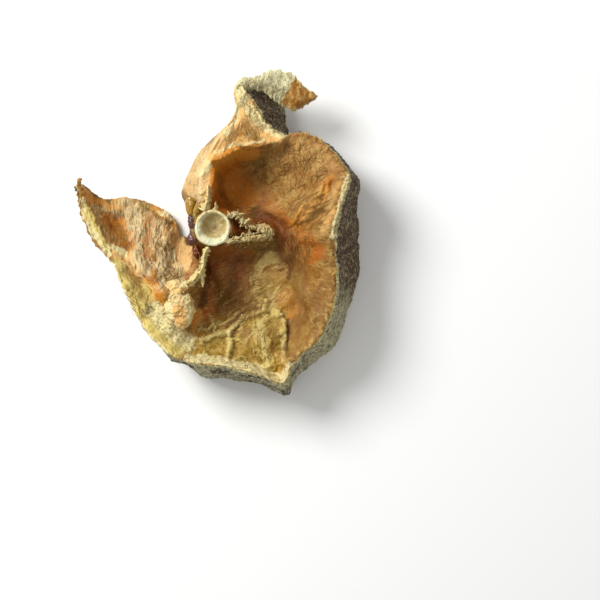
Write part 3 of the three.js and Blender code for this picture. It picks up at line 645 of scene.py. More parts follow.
def fine_relief(grid, face, v, masks, across, along):
    """The height in mm that dried flesh, lining and skin stand out by: crumples of several sizes, fibres drawn
    out along the grain, crumbly flakes where there is fat, grit where it is cream, and folds on the skin."""
    on = {f: (face == f)[None, :].astype(float) for f in (CUT, SKIN, BASE, WALL)}
    warp = fractal(grid, 4, 2, 5)
    fibres = np.stack([across + 0.9 * warp, 0.17 * along + 0.4 * warp, 0.3 * grid[..., 2]], -1)
    strand = ridged(fibres, 1.5, 3, 91) - 0.5
    crumple = fractal(grid, 6, 4, 11)
    web = ridged(grid * (1, 1, 0.6) + 0.5 * warp[..., None], 3.0, 4, 31) - 0.5
    grit = fractal(grid, 1.1, 3, 71, 0.6)
    flake = ridged(grid * (1, 1, 0.5) + 0.8 * warp[..., None], 4.5, 3, 131) - 0.5
    cream, umber, silver, fat, glaze = (masks[name] for name in ("cream", "umber", "silver", "fat", "glaze"))
    inward = smooth(-14, -6, grid[..., 0])
    calm = (1 - 0.4 * umber) * (1 - 0.7 * glaze)
    bowl = inward * np.maximum(smooth(33, 27, grid[..., 1]), smooth(18, 25, grid[..., 0])) * (1 - fat)
    neck = smooth(20, 27, grid[..., 1]) * smooth(24, 18, grid[..., 0])
    flesh = ((0.3 - 0.14 * bowl) * crumple + (0.4 - 0.31 * bowl) * web
             + (0.5 - 0.4 * bowl - 0.3 * neck) * strand + 0.12 * grit) * calm
    flesh = (flesh + fat * ((0.05 + 0.17 * inward) * flake + 0.15 * inward * web + 0.2 * strand)
             + cream * (0.25 * grit + 0.25 * web))
    flesh = flesh + 0.25 * smooth(0.4, 0.7, masks["loose"] + 0.45 * fractal(grid, 1.6, 3, 77))
    flesh = flesh + 0.45 * masks["wall"]
    wrinkle = ridged(fibres * (1, 1.4, 1) + 7.7, 0.75, 2, 97) - 0.5
    pleat = ridged(fibres * (1, 0.8, 1) + 3.3, 1.5, 2, 103) - 0.5
    lining = (0.3 * crumple + 0.4 * strand + 0.4 * wrinkle + (0.35 + 0.5 * silver) * pleat) * (1 - 0.7 * glaze)
    lining = lining + (0.1 * silver + 0.25 * cream) * grit
    skin = 0.6 * fractal(grid, 8, 3, 3) + 0.7 * web + 0.4 * grit
    edge = np.where(face == CUT, smooth(0.93, 0.985, v), np.where(face == SKIN, smooth(0.12, 0.0, v), 0))[None]
    lip = np.where(face == CUT, smooth(0.06, 0.0, v), np.where(face == WALL, smooth(0.9, 1.0, v), 0))[None]
    crust = 0.8 * fractal(grid, 1.9, 3, 151, 0.6) + 0.5 * (ridged(grid, 2.4, 2, 161) - 0.5)
    rough = on[CUT] * flesh + on[WALL] * lining + on[SKIN] * skin + on[BASE] * 0.5 * crumple
    return rough + (0.7 * edge + 0.5 * lip * (1 - glaze)) * crust


def cavity_of(height, passes):
    """How far each point stands over (above 0) or under its neighbourhood: the height less its own blur."""
    blur = height
    for _ in range(passes):
        blur = (blur + np.roll(blur, 1, 1) + np.roll(blur, -1, 1)
                + np.concatenate([blur[:1], blur[:-1]]) + np.concatenate([blur[1:], blur[-1:]])) / 5
    return height - blur


def half_slice(first, last, before, after):
    """Half of the slice: the ring grid with its fine relief, and the values that its materials read. On the skin
    and down the belly wall noise moves the stains to and fro, so that they don't hang in upright bands. The spare
    rows past the shared cross-section give both halves the same edge there, and are dropped at the end."""
    u = even_rows(first, last, before, after)
    grid, face, v, raised = slice_grid(u)
    grid = soften_corners(grid, face, v)
    outward = normals_of(grid)
    if outward[len(u) // 2, CUT_STEPS // 2, 2] < 0:
        outward = -outward
    below = smooth(1, 5, follow(SECTIONS[:, 2], u)[:, None] - grid[..., 2]) * (face == WALL)
    steep = below * smooth(0.5, 0.2, outward[..., 2])
    sway = fractals(grid, 8, 4, (33, 39), 0.6)
    plan = bent(grid) + STAIN_SWAY * sway * np.maximum(below, face == SKIN)[..., None]
    upward = np.isin(face, (CUT, WALL))[None, :]
    masks = stain_masks(STAINS, plan)
    masks["wall"] = cell_walls(grid)
    masks["loose"] = np.maximum(masks["loose"], 0.8 * masks["wall"])
    masks = {name: mask * upward for name, mask in masks.items()}
    for name, mask in stain_masks(SKIN_STAINS, plan).items():
        masks[name] = masks.get(name, 0) + mask * ~upward
    across, along = grain_of(grid)
    masks = {name: mask * (1 - 0.35 * steep) for name, mask in masks.items()}
    height = fine_relief(grid, face, v, masks, across, along)
    grid = grid + outward * (height * smooth(0, 2.5, grid[..., 2]))[..., None]
    grid[..., 2] = np.maximum(grid[..., 2], 0)
    rim = np.where(face == CUT, bell(1 - v, 0.02), np.where(face == SKIN, bell(v, 0.06), 0))[None]
    hem = np.where(face == SKIN, bell(1 - v, 0.06), 0)
    del masks["wall"]
    # crest and swell drive the pale crests, partly a painted highlight, and the painted shade in hollows.
    values = {**masks, "crest": cavity_of(height, CREST_BLUR) / CREST_FULL,
              "swell": cavity_of(height + 0.5 * raised, SWELL_BLUR) / SWELL_FULL,
              "rim": np.maximum(rim, hem), "grain_x": across, "grain_y": along}
    keep = slice(before, len(u) - after)
    return grid[keep], {key: np.broadcast_to(value, height.shape)[keep] for key, value in values.items()}, face


# ---------------------------------------------------------------- torn strips, lumps, crumbs and fibres

CELL = 0.4


class Ground:
    """The highest z of the slice over each small square of the plan, read back from the finished meshes."""

    def __init__(self):
        points = []
        for name in ("lower_slice", "upper_slice"):
            mesh = bpy.data.meshes[name]
            flat = np.empty(len(mesh.vertices) * 3, np.float32)
            mesh.vertices.foreach_get("co", flat)
            points.append(flat.reshape(-1, 3).astype(float) / MM - SPINE)
        points = np.concatenate(points)
        self.low = points[:, :2].min(0) - 2
        shape = np.ceil((points[:, :2].max(0) + 2 - self.low) / CELL).astype(int) + 1
        self.height = np.full(shape, -1.0)
        cell = np.floor((points[:, :2] - self.low) / CELL).astype(int)
        np.maximum.at(self.height, (cell[:, 0], cell[:, 1]), points[:, 2])
        for _ in range(3):
            near = np.max([np.roll(self.height, step, axis) for axis in (0, 1) for step in (-1, 1)], axis=0)
            self.height = np.where(self.height < 0, near, self.height)

    def at(self, xy):
        """The height under each point in plan, the mean of its square and the four beside it."""
        cell = np.floor((np.asarray(xy, float) - self.low) / CELL).astype(int)
        cell = np.clip(cell, 1, np.array(self.height.shape) - 2)
        i, j = cell[..., 0], cell[..., 1]
        h = self.height
        return (h[i, j] * 2 + h[i - 1, j] + h[i + 1, j] + h[i, j - 1] + h[i, j + 1]) / 6


def unit(vectors):
    """The vectors at length 1."""
    return vectors / (np.linalg.norm(vectors, axis=-1, keepdims=True) + 1e-9)


def turns(sides):
    """Angles in radians at equal steps round a circle."""
    return 2 * np.pi * np.arange(sides) / sides


def sphere(down, around):
    """Points at distance 1: down is each row's angle from the upright, around each side's angle in plan."""
    return np.stack([np.sin(down)[:, None] * np.cos(around), np.sin(down)[:, None] * np.sin(around),
                     np.broadcast_to(np.cos(down)[:, None], (len(down), len(around)))], -1)


def closing(share):
    """The root of one less the ninth power of twice the way off the middle: 1, and down to 0 at both ends."""
    return np.sqrt(np.clip(1 - np.abs(2 * share - 1) ** 9, 1e-4, 1))


def crusty(points, crust, size, octaves, seed):
    """crust times the sum of a noise of that size and of crests 1.6 times as large."""
    crests = ridged(points, size * 1.6, 2, seed + 9) - 0.5
    return crust * (fractal(points, size, octaves, seed + 3, 0.6) + 0.8 * crests)


def strip(line, widths, heights, rows=150, sides=36, ragged=0.3, crust=0.25, size=1.2, seed=0, sharp=0.0, fray=2.2):
    """A closed ribbon along a smooth curve through the line. Its cross-section is an ellipse of the given width
    and height, the ends close over the last tenth, noise frays its two sides over lengths of fray mm and less, and
    roughens its surface. sharp draws its top in to a crest and lets noise notch the crest."""
    t = np.linspace(0, len(line) - 1, rows)
    path = follow(line, t)
    tangent = unit(np.gradient(path, axis=0))
    side = unit(np.cross(tangent, (0, 0, 1)))
    up = np.cross(side, tangent)
    share = t / t[-1]
    taper = closing(share)
    angle = turns(sides)
    half_width = (follow(widths, t) / 2 * taper)[:, None]
    half_height = (follow(heights, t) / 2 * taper)[:, None]
    length = np.linalg.norm(np.diff(path, axis=0), axis=1).sum()
    edge_place = np.stack([np.broadcast_to((share * length / fray)[:, None], (rows, sides)),
                           np.broadcast_to(np.sign(np.cos(angle)) * 3.3, (rows, sides)),
                           np.full((rows, sides), seed * 7.7)], -1)
    torn = 1 + ragged * fractal(edge_place, 1.0, 5, seed, 0.7)
    top = np.maximum(0, np.sin(angle))
    notch_place = np.stack([share * length / 1.8, 0 * share, 0 * share + seed], -1)
    notch = 1 + sharp * top * fractal(notch_place, 1, 4, seed + 1)[:, None]
    grid = (path[:, None] + side[:, None] * (half_width * np.cos(angle) * torn * (1 - sharp * top))[..., None]
            + up[:, None] * (half_height * np.sin(angle) * notch)[..., None])
    outward = unit(side[:, None] * np.cos(angle)[None, :, None] * half_height[..., None]
                   + up[:, None] * np.sin(angle)[None, :, None] * half_width[..., None])
    height = crusty(grid, crust, size, 3, seed)
    grid = grid + outward * (height * taper[:, None])[..., None]
    grid[..., 2] = np.maximum(grid[..., 2], 0)
    values = {"crest": cavity_of(height, 6) / (crust * 0.5 + 0.02), "edge": np.abs(np.cos(angle))[None] ** 3,
              "grain_x": 4 * angle[None], "grain_y": (share * length)[:, None]}
    return grid, values


def sheet(edge, far_edge, thick, rise=0.0, rows=200, half=60, ragged=0.5, crust=0.25, size=1.5, seed=0):
    """A thin closed leaf between two lines of points. Each cross-section runs over the upper side from the first
    edge to the far one and back below, half its thickness above and below the middle surface, which noise
    crumples and rise lifts by a sine. Noise frays both edges, and the ends close over the last tenth."""
    t = np.linspace(0, len(edge) - 1, rows)
    near, far = follow(edge, t), follow(far_edge, t)
    across = unit(far - near)
    near = near + across * (ragged * fractal(near * (1, 1, 0), 1.7, 4, seed, 0.65))[:, None]
    far = far + across * (ragged * fractal(far * (1, 1, 0), 1.7, 4, seed + 1, 0.65))[:, None]
    close = closing(t / t[-1])[:, None]
    way = np.arange(half) / half
    s = np.concatenate([way, 1 - way])[None]
    side = np.concatenate([np.ones(half), -np.ones(half)])[None]
    grid = near[:, None] + (far - near)[:, None] * (0.5 + (s - 0.5) * close)[..., None]
    height = crusty(grid * (1, 1, 0), crust, size, 4, seed)
    bow = np.sin(np.pi * s)
    grid[..., 2] += rise * bow * close + height + side * thick / 2 * close * np.sqrt(bow)
    values = {"crest": cavity_of(height, 6) / (crust * 0.5 + 0.02), "edge": bell(np.minimum(s, 1 - s), 0.07),
              "grain_x": s * 10, "grain_y": (t * 5)[:, None]}
    return grid, values


def lump(centre, radii, turn=0.0, rows=60, sides=80, crust=0.3, size=2.0, seed=0):
    """A closed ellipsoid whose surface is pushed in and out by noise. turn is about the upright, in radians."""
    down = np.pi * (np.arange(rows) + 0.5) / rows
    around = turns(sides)
    c, s = math.cos(turn), math.sin(turn)
    body = sphere(down, around) * radii
    body = np.stack([c * body[..., 0] - s * body[..., 1], s * body[..., 0] + c * body[..., 1], body[..., 2]], -1)
    place = body + np.array(centre)
    height = crust * (fractal(place, size, 4, seed) + 0.8 * (ridged(place, size * 1.4, 3, seed + 5) - 0.5))
    grid = place + unit(body / np.array(radii) ** 2) * height[..., None]
    values = {"crest": cavity_of(height, 6) / (crust * 0.6 + 0.02), "grain_x": 4 * around[None],
              "grain_y": 4 * down[:, None]}
    return grid, values


# ---------------------------------------------------------------- the pieces

CUP_DEPTH = 5.0
CUP_MIDDLE, PIT_MIDDLE = (0.4, 0.8), (0.6, 0.1)
ARCH_LEGS = [
    ([(4.6, 4.2, 24), (7.8, 4.9, 23.8), (10.4, 2.8, 23), (13.6, 0.6, 22.2), (17.4, -0.4, 21.5), (21.4, -1.4, 20)],
     [1.8, 2.0, 1.9, 2.6, 3.4, 2.2], [7, 8, 8, 9, 9, 6]),
    ([(4.4, -4.6, 23.5), (8.6, -4.4, 23), (12.6, -3.6, 22.4), (17, -3.0, 21.4), (21, -2.8, 20)],
     [1.9, 1.8, 2.3, 3.0, 2.0], [7, 8, 8.5, 8.5, 6]),
]


def vertebra(rows=150, sides=150):
    """Two hourglass bones turned about the upright: the radius follows the profile, and noise thickens and
    chips the rim. The cup's floor is a cone with a dark pit that lies off its middle."""
    top = BONE_TOP
    profile = np.array([[0.05, top - CUP_DEPTH], [1.4, top - 4.7], [3.2, top - 3.3], [4.6, top - 1.3],
                        [5.1, top - 0.4], [5.7, top], [6.3, top - 0.3], [6.5, top - 1.2], [6.35, top - 3],
                        [5.4, top - 6.5], [5.0, top - 9], [5.4, top - 11.5], [6.4, top - 13.6], [6.45, top - 14.4],
                        [5.4, top - 16.5], [5.0, top - 19], [5.4, top - 22], [6.3, 2], [6.45, 0.6], [6.0, 0],
                        [0.05, 0]])
    radius, z = follow(profile, np.linspace(0, len(profile) - 1, rows)).T
    angle = turns(sides)
    circle = np.stack([np.cos(angle), np.sin(angle)], -1)
    inside = (np.arange(rows) < rows * 4.4 / 20)[:, None]
    ring = np.stack([*np.broadcast_arrays(circle[None, :, 0] * 2.4, circle[None, :, 1] * 2.4, z[:, None] / 4)], -1)
    wobble = fractal(ring, 1.3, 3, 401)
    grid = np.empty((rows, sides, 3))
    wide = radius[:, None] * (1 + np.where(inside, 0.16, 0.05) * wobble * smooth(0, 4, radius)[:, None])
    grid[..., :2] = circle[None] * wide[..., None]
    off_axis = inside * (smooth(0.5, 3.5, radius) * smooth(5.9, 4.7, radius))[:, None]
    grid[..., :2] += np.array(CUP_MIDDLE) * off_axis[..., None]
    grid[..., 2] = z[:, None]
    near_top = smooth(top - 2.2, top - 0.2, z)[:, None]
    upper = smooth(0.2, 0.8, np.sin(angle - 0.3))[None]
    chip = np.maximum(0, fractal(ring * (1.6, 1.6, 1), 1.6, 3, 411))
    grid[..., 2] -= near_top * (0.4 * wobble + (1.1 * upper + 0.15) * chip)
    grit = 0.07 * fractal(grid, 0.9, 3, 421) + 0.1 * (ridged(grid, 1.6, 2, 431) - 0.5)
    grid[..., :2] += circle[None] * (grit * smooth(1, 4, radius)[:, None])[..., None]
    down = smooth(top - 1, top - 9, z)[:, None]
    grid[..., :2] += np.array([-0.9, -0.9]) * (down * smooth(top - 24, top - 12, z)[:, None])[..., None]
    grid[..., 2] = np.clip(grid[..., 2], 0, None)
    from_pit, from_cup = (np.hypot(grid[..., 0] - x, grid[..., 1] - y) for x, y in (PIT_MIDDLE, CUP_MIDDLE))
    pit, cup = bell(from_pit, 1.1) * inside, smooth(5.1, 3.9, from_cup) * inside
    crust = 0.8 * upper * near_top * smooth(4.8, 5.4, radius)[:, None]
    values = {"crest": cavity_of(grit, 6) / 0.05, "cup": cup, "pit": pit, "crust": crust,
              "grain_x": 6.5 * angle[None], "grain_y": z[:, None]}
    return grid, values


def splinters(skin, draw, count=70):
    """Short jagged bits of bone on and between the arch's legs: each a strip of three points whose place on a leg,
    direction, length, width and brownness are drawn by lot."""
    for number in range(count):
        line = np.array(ARCH_LEGS[number % 2][0])
        x, y, z = follow(line, draw.uniform(0.4, len(line) - 1.05, 1))[0]
        heading = draw.uniform(0, 2 * np.pi)
        step = np.array([math.cos(heading), math.sin(heading)]) * draw.uniform(0.4, 2.0)
        middle = np.array([x, y]) + draw.normal(0, 0.55, 2) + (0, 0.9 * (-1) ** (number % 2 + 1) * smooth(9, 15, x))
        rise = draw.uniform(-0.5, 1.0, 3)
        tops = z + 3.2 + 0.4 * smooth(14, 8, x) + rise
        path = [(*(middle + step * way), top) for way, top in zip((-1, 0, 1), tops)]
        wide = 0.6 * draw.lognormal(0, 0.55)
        grid, values = strip(path, [wide * 0.6, wide, wide * 0.4], [1.6, 1.6, 0.6], rows=30, sides=14, ragged=0.6,
                             crust=0.25, size=0.8, seed=340 + number, sharp=0.3)
        dull = draw.uniform(0, 0.6)
        skin.add_grid(grid, dict(values, crust=1 - dull, pit=dull))


def build_flap_tip():
    """The upper flap's end: a broad leaf that starts on the neck and curls over to the right, with pale skin on
    its upper side and bare at its tip, and its hooked counterpart on the lower flap."""
    edge = [(8.2, 51.4, 26.2), (10.6, 54.0, 26), (16.4, 54.4, 25), (18.8, 56.4, 24), (23.4, 57.0, 22.6),
            (28.1, 56.2, 22), (31.0, 53.3, 21.4), (33.4, 51.6, 20), (37.8, 49.2, 18.4)]
    far_edge = [(9.4, 50.2, 26.4), (12.4, 50.2, 26), (15.8, 50.0, 25), (18.4, 48.8, 24), (21.6, 46.6, 22.6),
                (25.2, 44.2, 20.6), (28.6, 42.8, 19.6), (32.2, 43.8, 19), (37.6, 47.0, 18.2)]
    grid, values = sheet(edge, far_edge, 1.6, rise=1.2, rows=240, half=110, ragged=0.7, crust=0.45, size=3.2, seed=500)
    xy = grid[..., :2]
    bare = smooth(-1.5, 0.5, (xy[..., 0] - 27.4) * 0.9 - (xy[..., 1] - 50) * 0.5 + 1.2 * fractal(grid, 3, 3, 511))
    dull = smooth(3.6, 1.0, distance_to((13, 51.4, 20, 50, 25, 48, 27, 46), xy)) * (1 - bare)
    leaf = Skin()
    leaf.add_grid(grid, dict(values, ash=1.0, bare=bare, moss=0.6 * dull))
    leaf.build("flap_tip", ["flap_leaf"])

    hook = Skin()
    grid, values = strip([(-47.4, 13.0, 15.5), (-49.0, 15.6, 17.6), (-48.9, 17.8, 19.0), (-47.8, 17.8, 19.8)],
                         [2.8, 2.2, 1.3, 0.8], [2.8, 2.2, 1.3, 0.8], rows=80, sides=24, ragged=0.2, crust=0.2, seed=520)
    # A little orange with a painted glow, and cream on the strip's sides.
    hook.add_grid(grid, dict(values, blaze=0.3, cream=values["edge"] * 0.7))
    hook.build("flap_hook", ["dried_flesh"])


def build_shreds():
    """The torn pale strips above and below the bone, and the spike."""
    shreds = Skin()
    torn = [
        ([(-1.6, -6.8, 26), (-3, -10, 26.6), (-3.4, -14, 26.6), (-6, -18, 26.4), (-9.6, -20.4, 26)],
         [2.6, 2.2, 2.4, 2.8, 3.0], [4, 5, 5, 5, 3]),
        ([(-4.2, -13.5, 26.6), (-3.8, -17, 26.6), (-3.6, -21.4, 25.6)], [2.4, 1.8, 0.5], [3, 2, 0.8]),
        ([(-3, 6.2, 25.4), (-2.2, 8.6, 26.4), (-1.6, 12, 27), (-1.8, 15.6, 27)], [5.4, 3.0, 1.7, 0.7], [4, 4.5, 4, 2]),
        ([(1.2, 6.2, 26), (0.9, 7.6, 26.8), (1, 9.4, 26.8)], [2.0, 1.3, 0.4], [2.4, 1.8, 0.6]),
    ]
    for number, (line, widths, heights) in enumerate(torn):
        grid, values = strip(line, widths, heights, rows=180, sides=56, ragged=0.7, crust=0.3, size=1.6,
                             seed=600 + 20 * number, sharp=0.6)
        folds = 0.8 * smooth(0.15, 0.5, fractal(grid, 1.6, 3, 690))
        shreds.add_grid(grid, dict(values, cream=0.6 * (1 - folds), fat=0.5, butter=0.5 * (1 - folds),
                                   blood=0.5 * folds))
    shreds.build("torn_shreds", ["dried_flesh"])


def build_membranes():
    """The dark film and the clear fat left of the bone: lumps whose lower halves hang down to three times their
    height, into the lining."""
    film = Skin()
    for number, (centre, radii, turn, tones) in enumerate([
            ((-7.6, 1.8, 22.8), (1.5, 3.2, 2.6), 0.15, {"ink": 1.0}),
            ((-7.4, -3.8, 22.8), (2.0, 2.6, 2.6), -0.2, {"ink": 0.9}),
            ((-6.2, -8.4, 21.8), (1.4, 2.6, 2.2), 0.1, {"ink": 0.5, "blood": 1.0}),
            # The clear fat's orange is partly a painted glow.
            ((-8.2, 7.8, 22.6), (1.8, 3.6, 2.4), 0.1, {"fat": 1.0, "blaze": 0.6}),
            ((-6.6, 5.2, 22.2), (1.2, 1.8, 1.8), 0.4, {"blaze": 1.0, "blood": 0.3})]):
        grid, values = lump(centre, radii, turn, rows=50, sides=60, crust=0.4, size=1.5, seed=900 + 10 * number)
        grid[..., 2] -= 2 * np.maximum(0, centre[2] - grid[..., 2])
        film.add_grid(grid, dict(values, **tones))
    film.build("dark_membrane", ["wet_film"])


def build_knob():
    """The gristle knob below the bone: a crusty cream lump, and an oval of smooth rosy flesh in a raised ring."""
    knob = Skin()
    grid, values = lump((-12.6, -27.4, 21.5), (5.2, 8.8, 5.0), 0.22, rows=140, sides=180, crust=0.85, size=2.6,
                        seed=1000)
    x, y = grid[..., 0], grid[..., 1]
    around = np.hypot((x + 12.2) / 2.5, (y + 31.4) / 3.9) + 0.2 * fractal(grid, 2.4, 3, 1030)
    seen = smooth(1.2, 0.9, around)
    ring = bell(around - 1.1, 0.16)
    onion = np.sin(4.2 * np.hypot((x + 13) * 1.3, y + 26) + 2 * fractal(grid, 3, 2, 1010)) * smooth(1.3, 1.8, around)
    grid[..., 2] += 0.2 * ring * (0.7 + 0.8 * fractal(grid, 1.5, 3, 1020)) + 0.12 * onion
    collar = smooth(-14.4, -16.6, x + 0.25 * (y + 26))
    values["crest"] = values["crest"] + 0.8 * onion
    strand = bell(distance_to((-9, -20, -9.6, -25, -8.8, -30, -8.6, -34), grid[..., :2]), 1.0)
    cream = np.maximum(0.35 * ring, np.maximum(collar, strand)) * 0.85
    knob.add_grid(grid, dict(values, honey=0.8, rose=0.3, olive=0.6 * seen, butter=0.4 * (1 - seen), cream=cream,
                             silver=0.65 * (1 - seen)))
    knob.build("gristle_knob", ["dried_flesh"])


# How deep a crumb sits in the flesh, and how far it keeps from the rims, in mm.
CRUMB_SUNK, CRUMB_MARGIN = 0.08, 1.7
# Where crumbs lie: a line in plan, how far they stray from it in mm, how many, and their size in mm.
CRUMB_LINES = [
    ([(-9, -47), (2.5, -48.6), (14.4, -51), (25.4, -55.6)], 0.9, 90, 0.24),
    ([(49, 19), (47, 12), (45.4, 6.4), (43.4, -3)], 0.7, 40, 0.22),
    ([(8.6, 50), (9.6, 44), (14.6, 44), (18, 38.6), (25, 33.6), (31, 34)], 0.7, 50, 0.2),
    ([(-4.5, -40), (5.4, -37.4), (9.7, -33), (17.6, -29.5)], 1.3, 60, 0.2),
    ([(16.2, -35), (17.6, -42), (19.8, -50)], 2.4, 50, 0.2),
    ([(-36, -13), (-31, -23), (-24, -35), (-14, -44)], 1.2, 40, 0.2),
    ([(-20, -30), (-16, -36), (-9, -42)], 2.2, 60, 0.24),
    ([(4, 4.6), (12, 2), (20, -1.6)], 1.4, 70, 0.22),
    ([(4, -4.6), (12, -3.6), (21, -2.6)], 1.4, 70, 0.22),
    ([(-3, -10), (-4, -18), (-9, -21), (-13, -20)], 1.2, 40, 0.22),
    ([(-12, 16), (-7, 22), (-4, 27)], 1.4, 24, 0.2),
    ([(6, -6), (12, -6.4)], 1.6, 26, 0.24),
]


def build_crumbs(ground, draw):
    """Small rough grains: a ball of few faces each, stretched and turned by lot, strewn by a bell curve about
    their line and sunk a little into the flesh."""
    places, sizes = [], []
    for line, stray, count, size in CRUMB_LINES:
        along = draw.uniform(0, len(line) - 1, count)
        places.append(follow(line, along) + draw.normal(0, stray, (count, 2)))
        sizes.append(size * draw.lognormal(0, 0.35, count))
    places, sizes = np.concatenate(places), np.concatenate(sizes)
    count, rows, sides = len(places), 3, 5
    down = np.pi * (np.arange(rows) + 1) / (rows + 1)
    rough = 1 + draw.normal(0, 0.18, (count, rows, sides, 1))
    grids = sphere(down, turns(sides))[None] * rough * (
        sizes[:, None] * draw.uniform(0.6, 1.3, (count, 3)))[:, None, None]
    turn = draw.uniform(0, 2 * np.pi, count)[:, None, None]
    x, y = grids[..., 0].copy(), grids[..., 1].copy()
    grids[..., 0], grids[..., 1] = x * np.cos(turn) - y * np.sin(turn), x * np.sin(turn) + y * np.cos(turn)
    z = ground.at(places) - CRUMB_SUNK
    grids += np.column_stack([places, z])[:, None, None]
    steps = np.array(((1, 0), (-1, 0), (0, 1), (0, -1))) * CRUMB_MARGIN
    grids = grids[np.min([ground.at(places + step) for step in steps], axis=0) > 2]
    tone = draw.uniform(0, 1, len(grids))[:, None, None]
    crumbs = Skin()
    crumbs.add_many(grids, {"cream": 0.35 + 0.65 * tone, "fat": 1 - tone})
    crumbs.build("crumbs", ["dried_flesh"])


# Where fibres lie: the middle and the half axes of an oval in plan, the direction in degrees and how far it
# strays, how many, how long in mm, and the stain that colours them.
FIBRE_PATCHES = [
    ((5, 34), (4, 9), 66, 6, 50, 8, "silver"),
    ((14, 38), (3, 7), 116, 8, 30, 6, "cream"),
    ((28, 22), (13, 9), -60, 60, 220, 3.5, "haze"),
    ((33, 5), (9, 7), 36, 12, 120, 6, "haze"),
    ((31, -6), (5, 7), 100, 14, 110, 5, "haze"),
    ((8, -18), (8, 7), 42, 24, 80, 3, "haze"),
    ((10, -29), (10, 4), 30, 40, 140, 3, "haze"),
    ((-29, -3), (4, 12), 86, 18, 180, 4, "silver"),
    ((-19, -6), (4, 9), 78, 16, 160, 4, "silver"),
    ((-17, -18), (4, 4), 50, 20, 90, 4, "silver"),
    ((-27, -26), (5, 10), 118, 24, 60, 4, "fat"),
    ((8, 6.5), (8, 3), 10, 20, 70, 4, "haze"),
    ((20, -43), (8, 6), 80, 30, 110, 2.6, "fat"),
]


def build_fibres(ground, draw):
    """Thin dried strands: each follows an arc in plan over the ground under it, rises a little in its middle,
    and tapers to both ends."""
    strands = Skin()
    rows, sides = 7, 3
    for (cx, cy), (rx, ry), degrees, stray, count, length, stain in FIBRE_PATCHES:
        spread = np.sqrt(draw.uniform(0, 1, count))
        turn = draw.uniform(0, 2 * np.pi, count)
        start = np.column_stack([cx + rx * spread * np.cos(turn), cy + ry * spread * np.sin(turn)])
        heading = np.radians(degrees + draw.normal(0, stray, count))
        bend = draw.normal(0, 0.12, count)
        reach = length * draw.lognormal(0, 0.3, count)
        s = np.linspace(-0.5, 0.5, rows)
        way = heading[:, None] + bend[:, None] * s * reach[:, None]
        step = np.stack([np.cos(way), np.sin(way)], -1) * (reach[:, None, None] / (rows - 1))
        xy = start[:, None] + np.cumsum(step, 1) - step.sum(1, keepdims=True) / 2
        thick = 0.09 * draw.lognormal(0, 0.3, count)[:, None] * np.sqrt(np.maximum(0.05, 1 - (2 * s) ** 2))[None]
        z = ground.at(xy) + 0.05 + 0.12 * draw.uniform(0, 1, count)[:, None] * np.cos(np.pi * s)
        keep = (ground.at(xy).min(1) > 2) & (np.abs(np.diff(z, axis=1)).max(1) < 1.2)
        angle = turns(sides)
        side = np.stack([-np.sin(way), np.cos(way), np.zeros_like(way)], -1)
        ring = (side[:, :, None] * np.cos(angle)[None, None, :, None]
                + np.array([0, 0, 1.0]) * np.sin(angle)[None, None, :, None]) * thick[..., None, None]
        grids = np.concatenate([xy, z[..., None]], -1)[:, :, None] + ring
        tone = draw.uniform(0.5, 1, count)[keep][:, None, None]
        strands.add_many(grids[keep], {stain: tone})
    strands.build("loose_fibres", ["dried_flesh"])


# ---------------------------------------------------------------- materials

class Graph:
    """A short way to write a node tree: add makes a node, sets its settings and plain inputs, and links the rest."""

    def __init__(self, tree):
        self.tree = tree

    def add(self, kind, settings=None, **inputs):
        """A new node. An input is given by its name with _ for a space, or as _ and its number."""
        node = self.tree.nodes.new(kind)
        for key, value in (settings or {}).items():
            setattr(node, key, value)
        for key, value in inputs.items():
            socket = node.inputs[int(key[1:])] if key[0] == "_" else node.inputs[key.replace("_", " ")]
            self.put(value, socket)
        return node

    def put(self, value, socket):
        """Links a node's output to the socket, or sets the socket to a plain value."""
        if isinstance(value, bpy.types.NodeSocket):
            self.tree.links.new(value, socket)
        else:
            socket.default_value = value

    def math(self, operation, a, b=0.0):
        """The operation on a and b."""
        return self.add("ShaderNodeMath", {"operation": operation}, _0=a, _1=b).outputs[0]

    def times(self, a, b):
        """a times b."""
        return self.math("MULTIPLY", a, b)

    def plus(self, a, b):
        """The sum of a and b."""
        return self.math("ADD", a, b)

    def less(self, a, b):
        """a less b."""
        return self.math("SUBTRACT", a, b)

    def mix(self, factor, a, b, blend="MIX"):
        """Colour a where the factor is 0, b laid over it where it is 1, and their shares between."""
        node = self.add("ShaderNodeMix", {"data_type": "RGBA", "blend_type": blend}, _0=factor, _6=a, _7=b)
        return node.outputs[2]

    def value_mix(self, factor, a, b):
        """The same for two plain values."""
        return self.add("ShaderNodeMix", {"data_type": "FLOAT"}, _0=factor, _2=a, _3=b).outputs[0]

    def mask(self, name):
        """The value of that name held at the points."""
        return self.add("ShaderNodeAttribute", {"attribute_name": name}).outputs["Fac"]

    def span(self, value, low, high, to_low=0.0, to_high=1.0):
        """A smooth step from to_low, where the value is low, to to_high, where it is high."""
        node = self.add("ShaderNodeMapRange", {"interpolation_type": "SMOOTHSTEP"}, Value=value,
                        From_Min=low, From_Max=high, To_Min=to_low, To_Max=to_high)
        return node.outputs[0]

    def spot(self):
        """The place on the object, in metres."""
        return self.add("ShaderNodeTexCoord").outputs["Object"]

    def noise(self, place, size, detail=4.0, roughness=0.6, distortion=0.0):
        """Noise whose blobs are about size mm across, on coordinates in metres."""
        node = self.add("ShaderNodeTexNoise", None, Vector=place, Scale=1 / (size * MM), Detail=detail,
                        Roughness=roughness, Distortion=distortion)
        return node.outputs["Fac"]


def new_group(name, inputs, outputs):
    """An empty node group with its named sockets. Returns the group, its graph, and its input and output nodes."""
    group = bpy.data.node_groups.new(name, "ShaderNodeTree")
    for direction, sockets in (("INPUT", inputs), ("OUTPUT", outputs)):
        for socket_name, kind, *default in sockets:
            socket = group.interface.new_socket(socket_name, in_out=direction, socket_type="NodeSocket" + kind)
            if default:
                socket.default_value = default[0]
    graph = Graph(group)
    return group, graph, graph.add("NodeGroupInput"), graph.add("NodeGroupOutput")


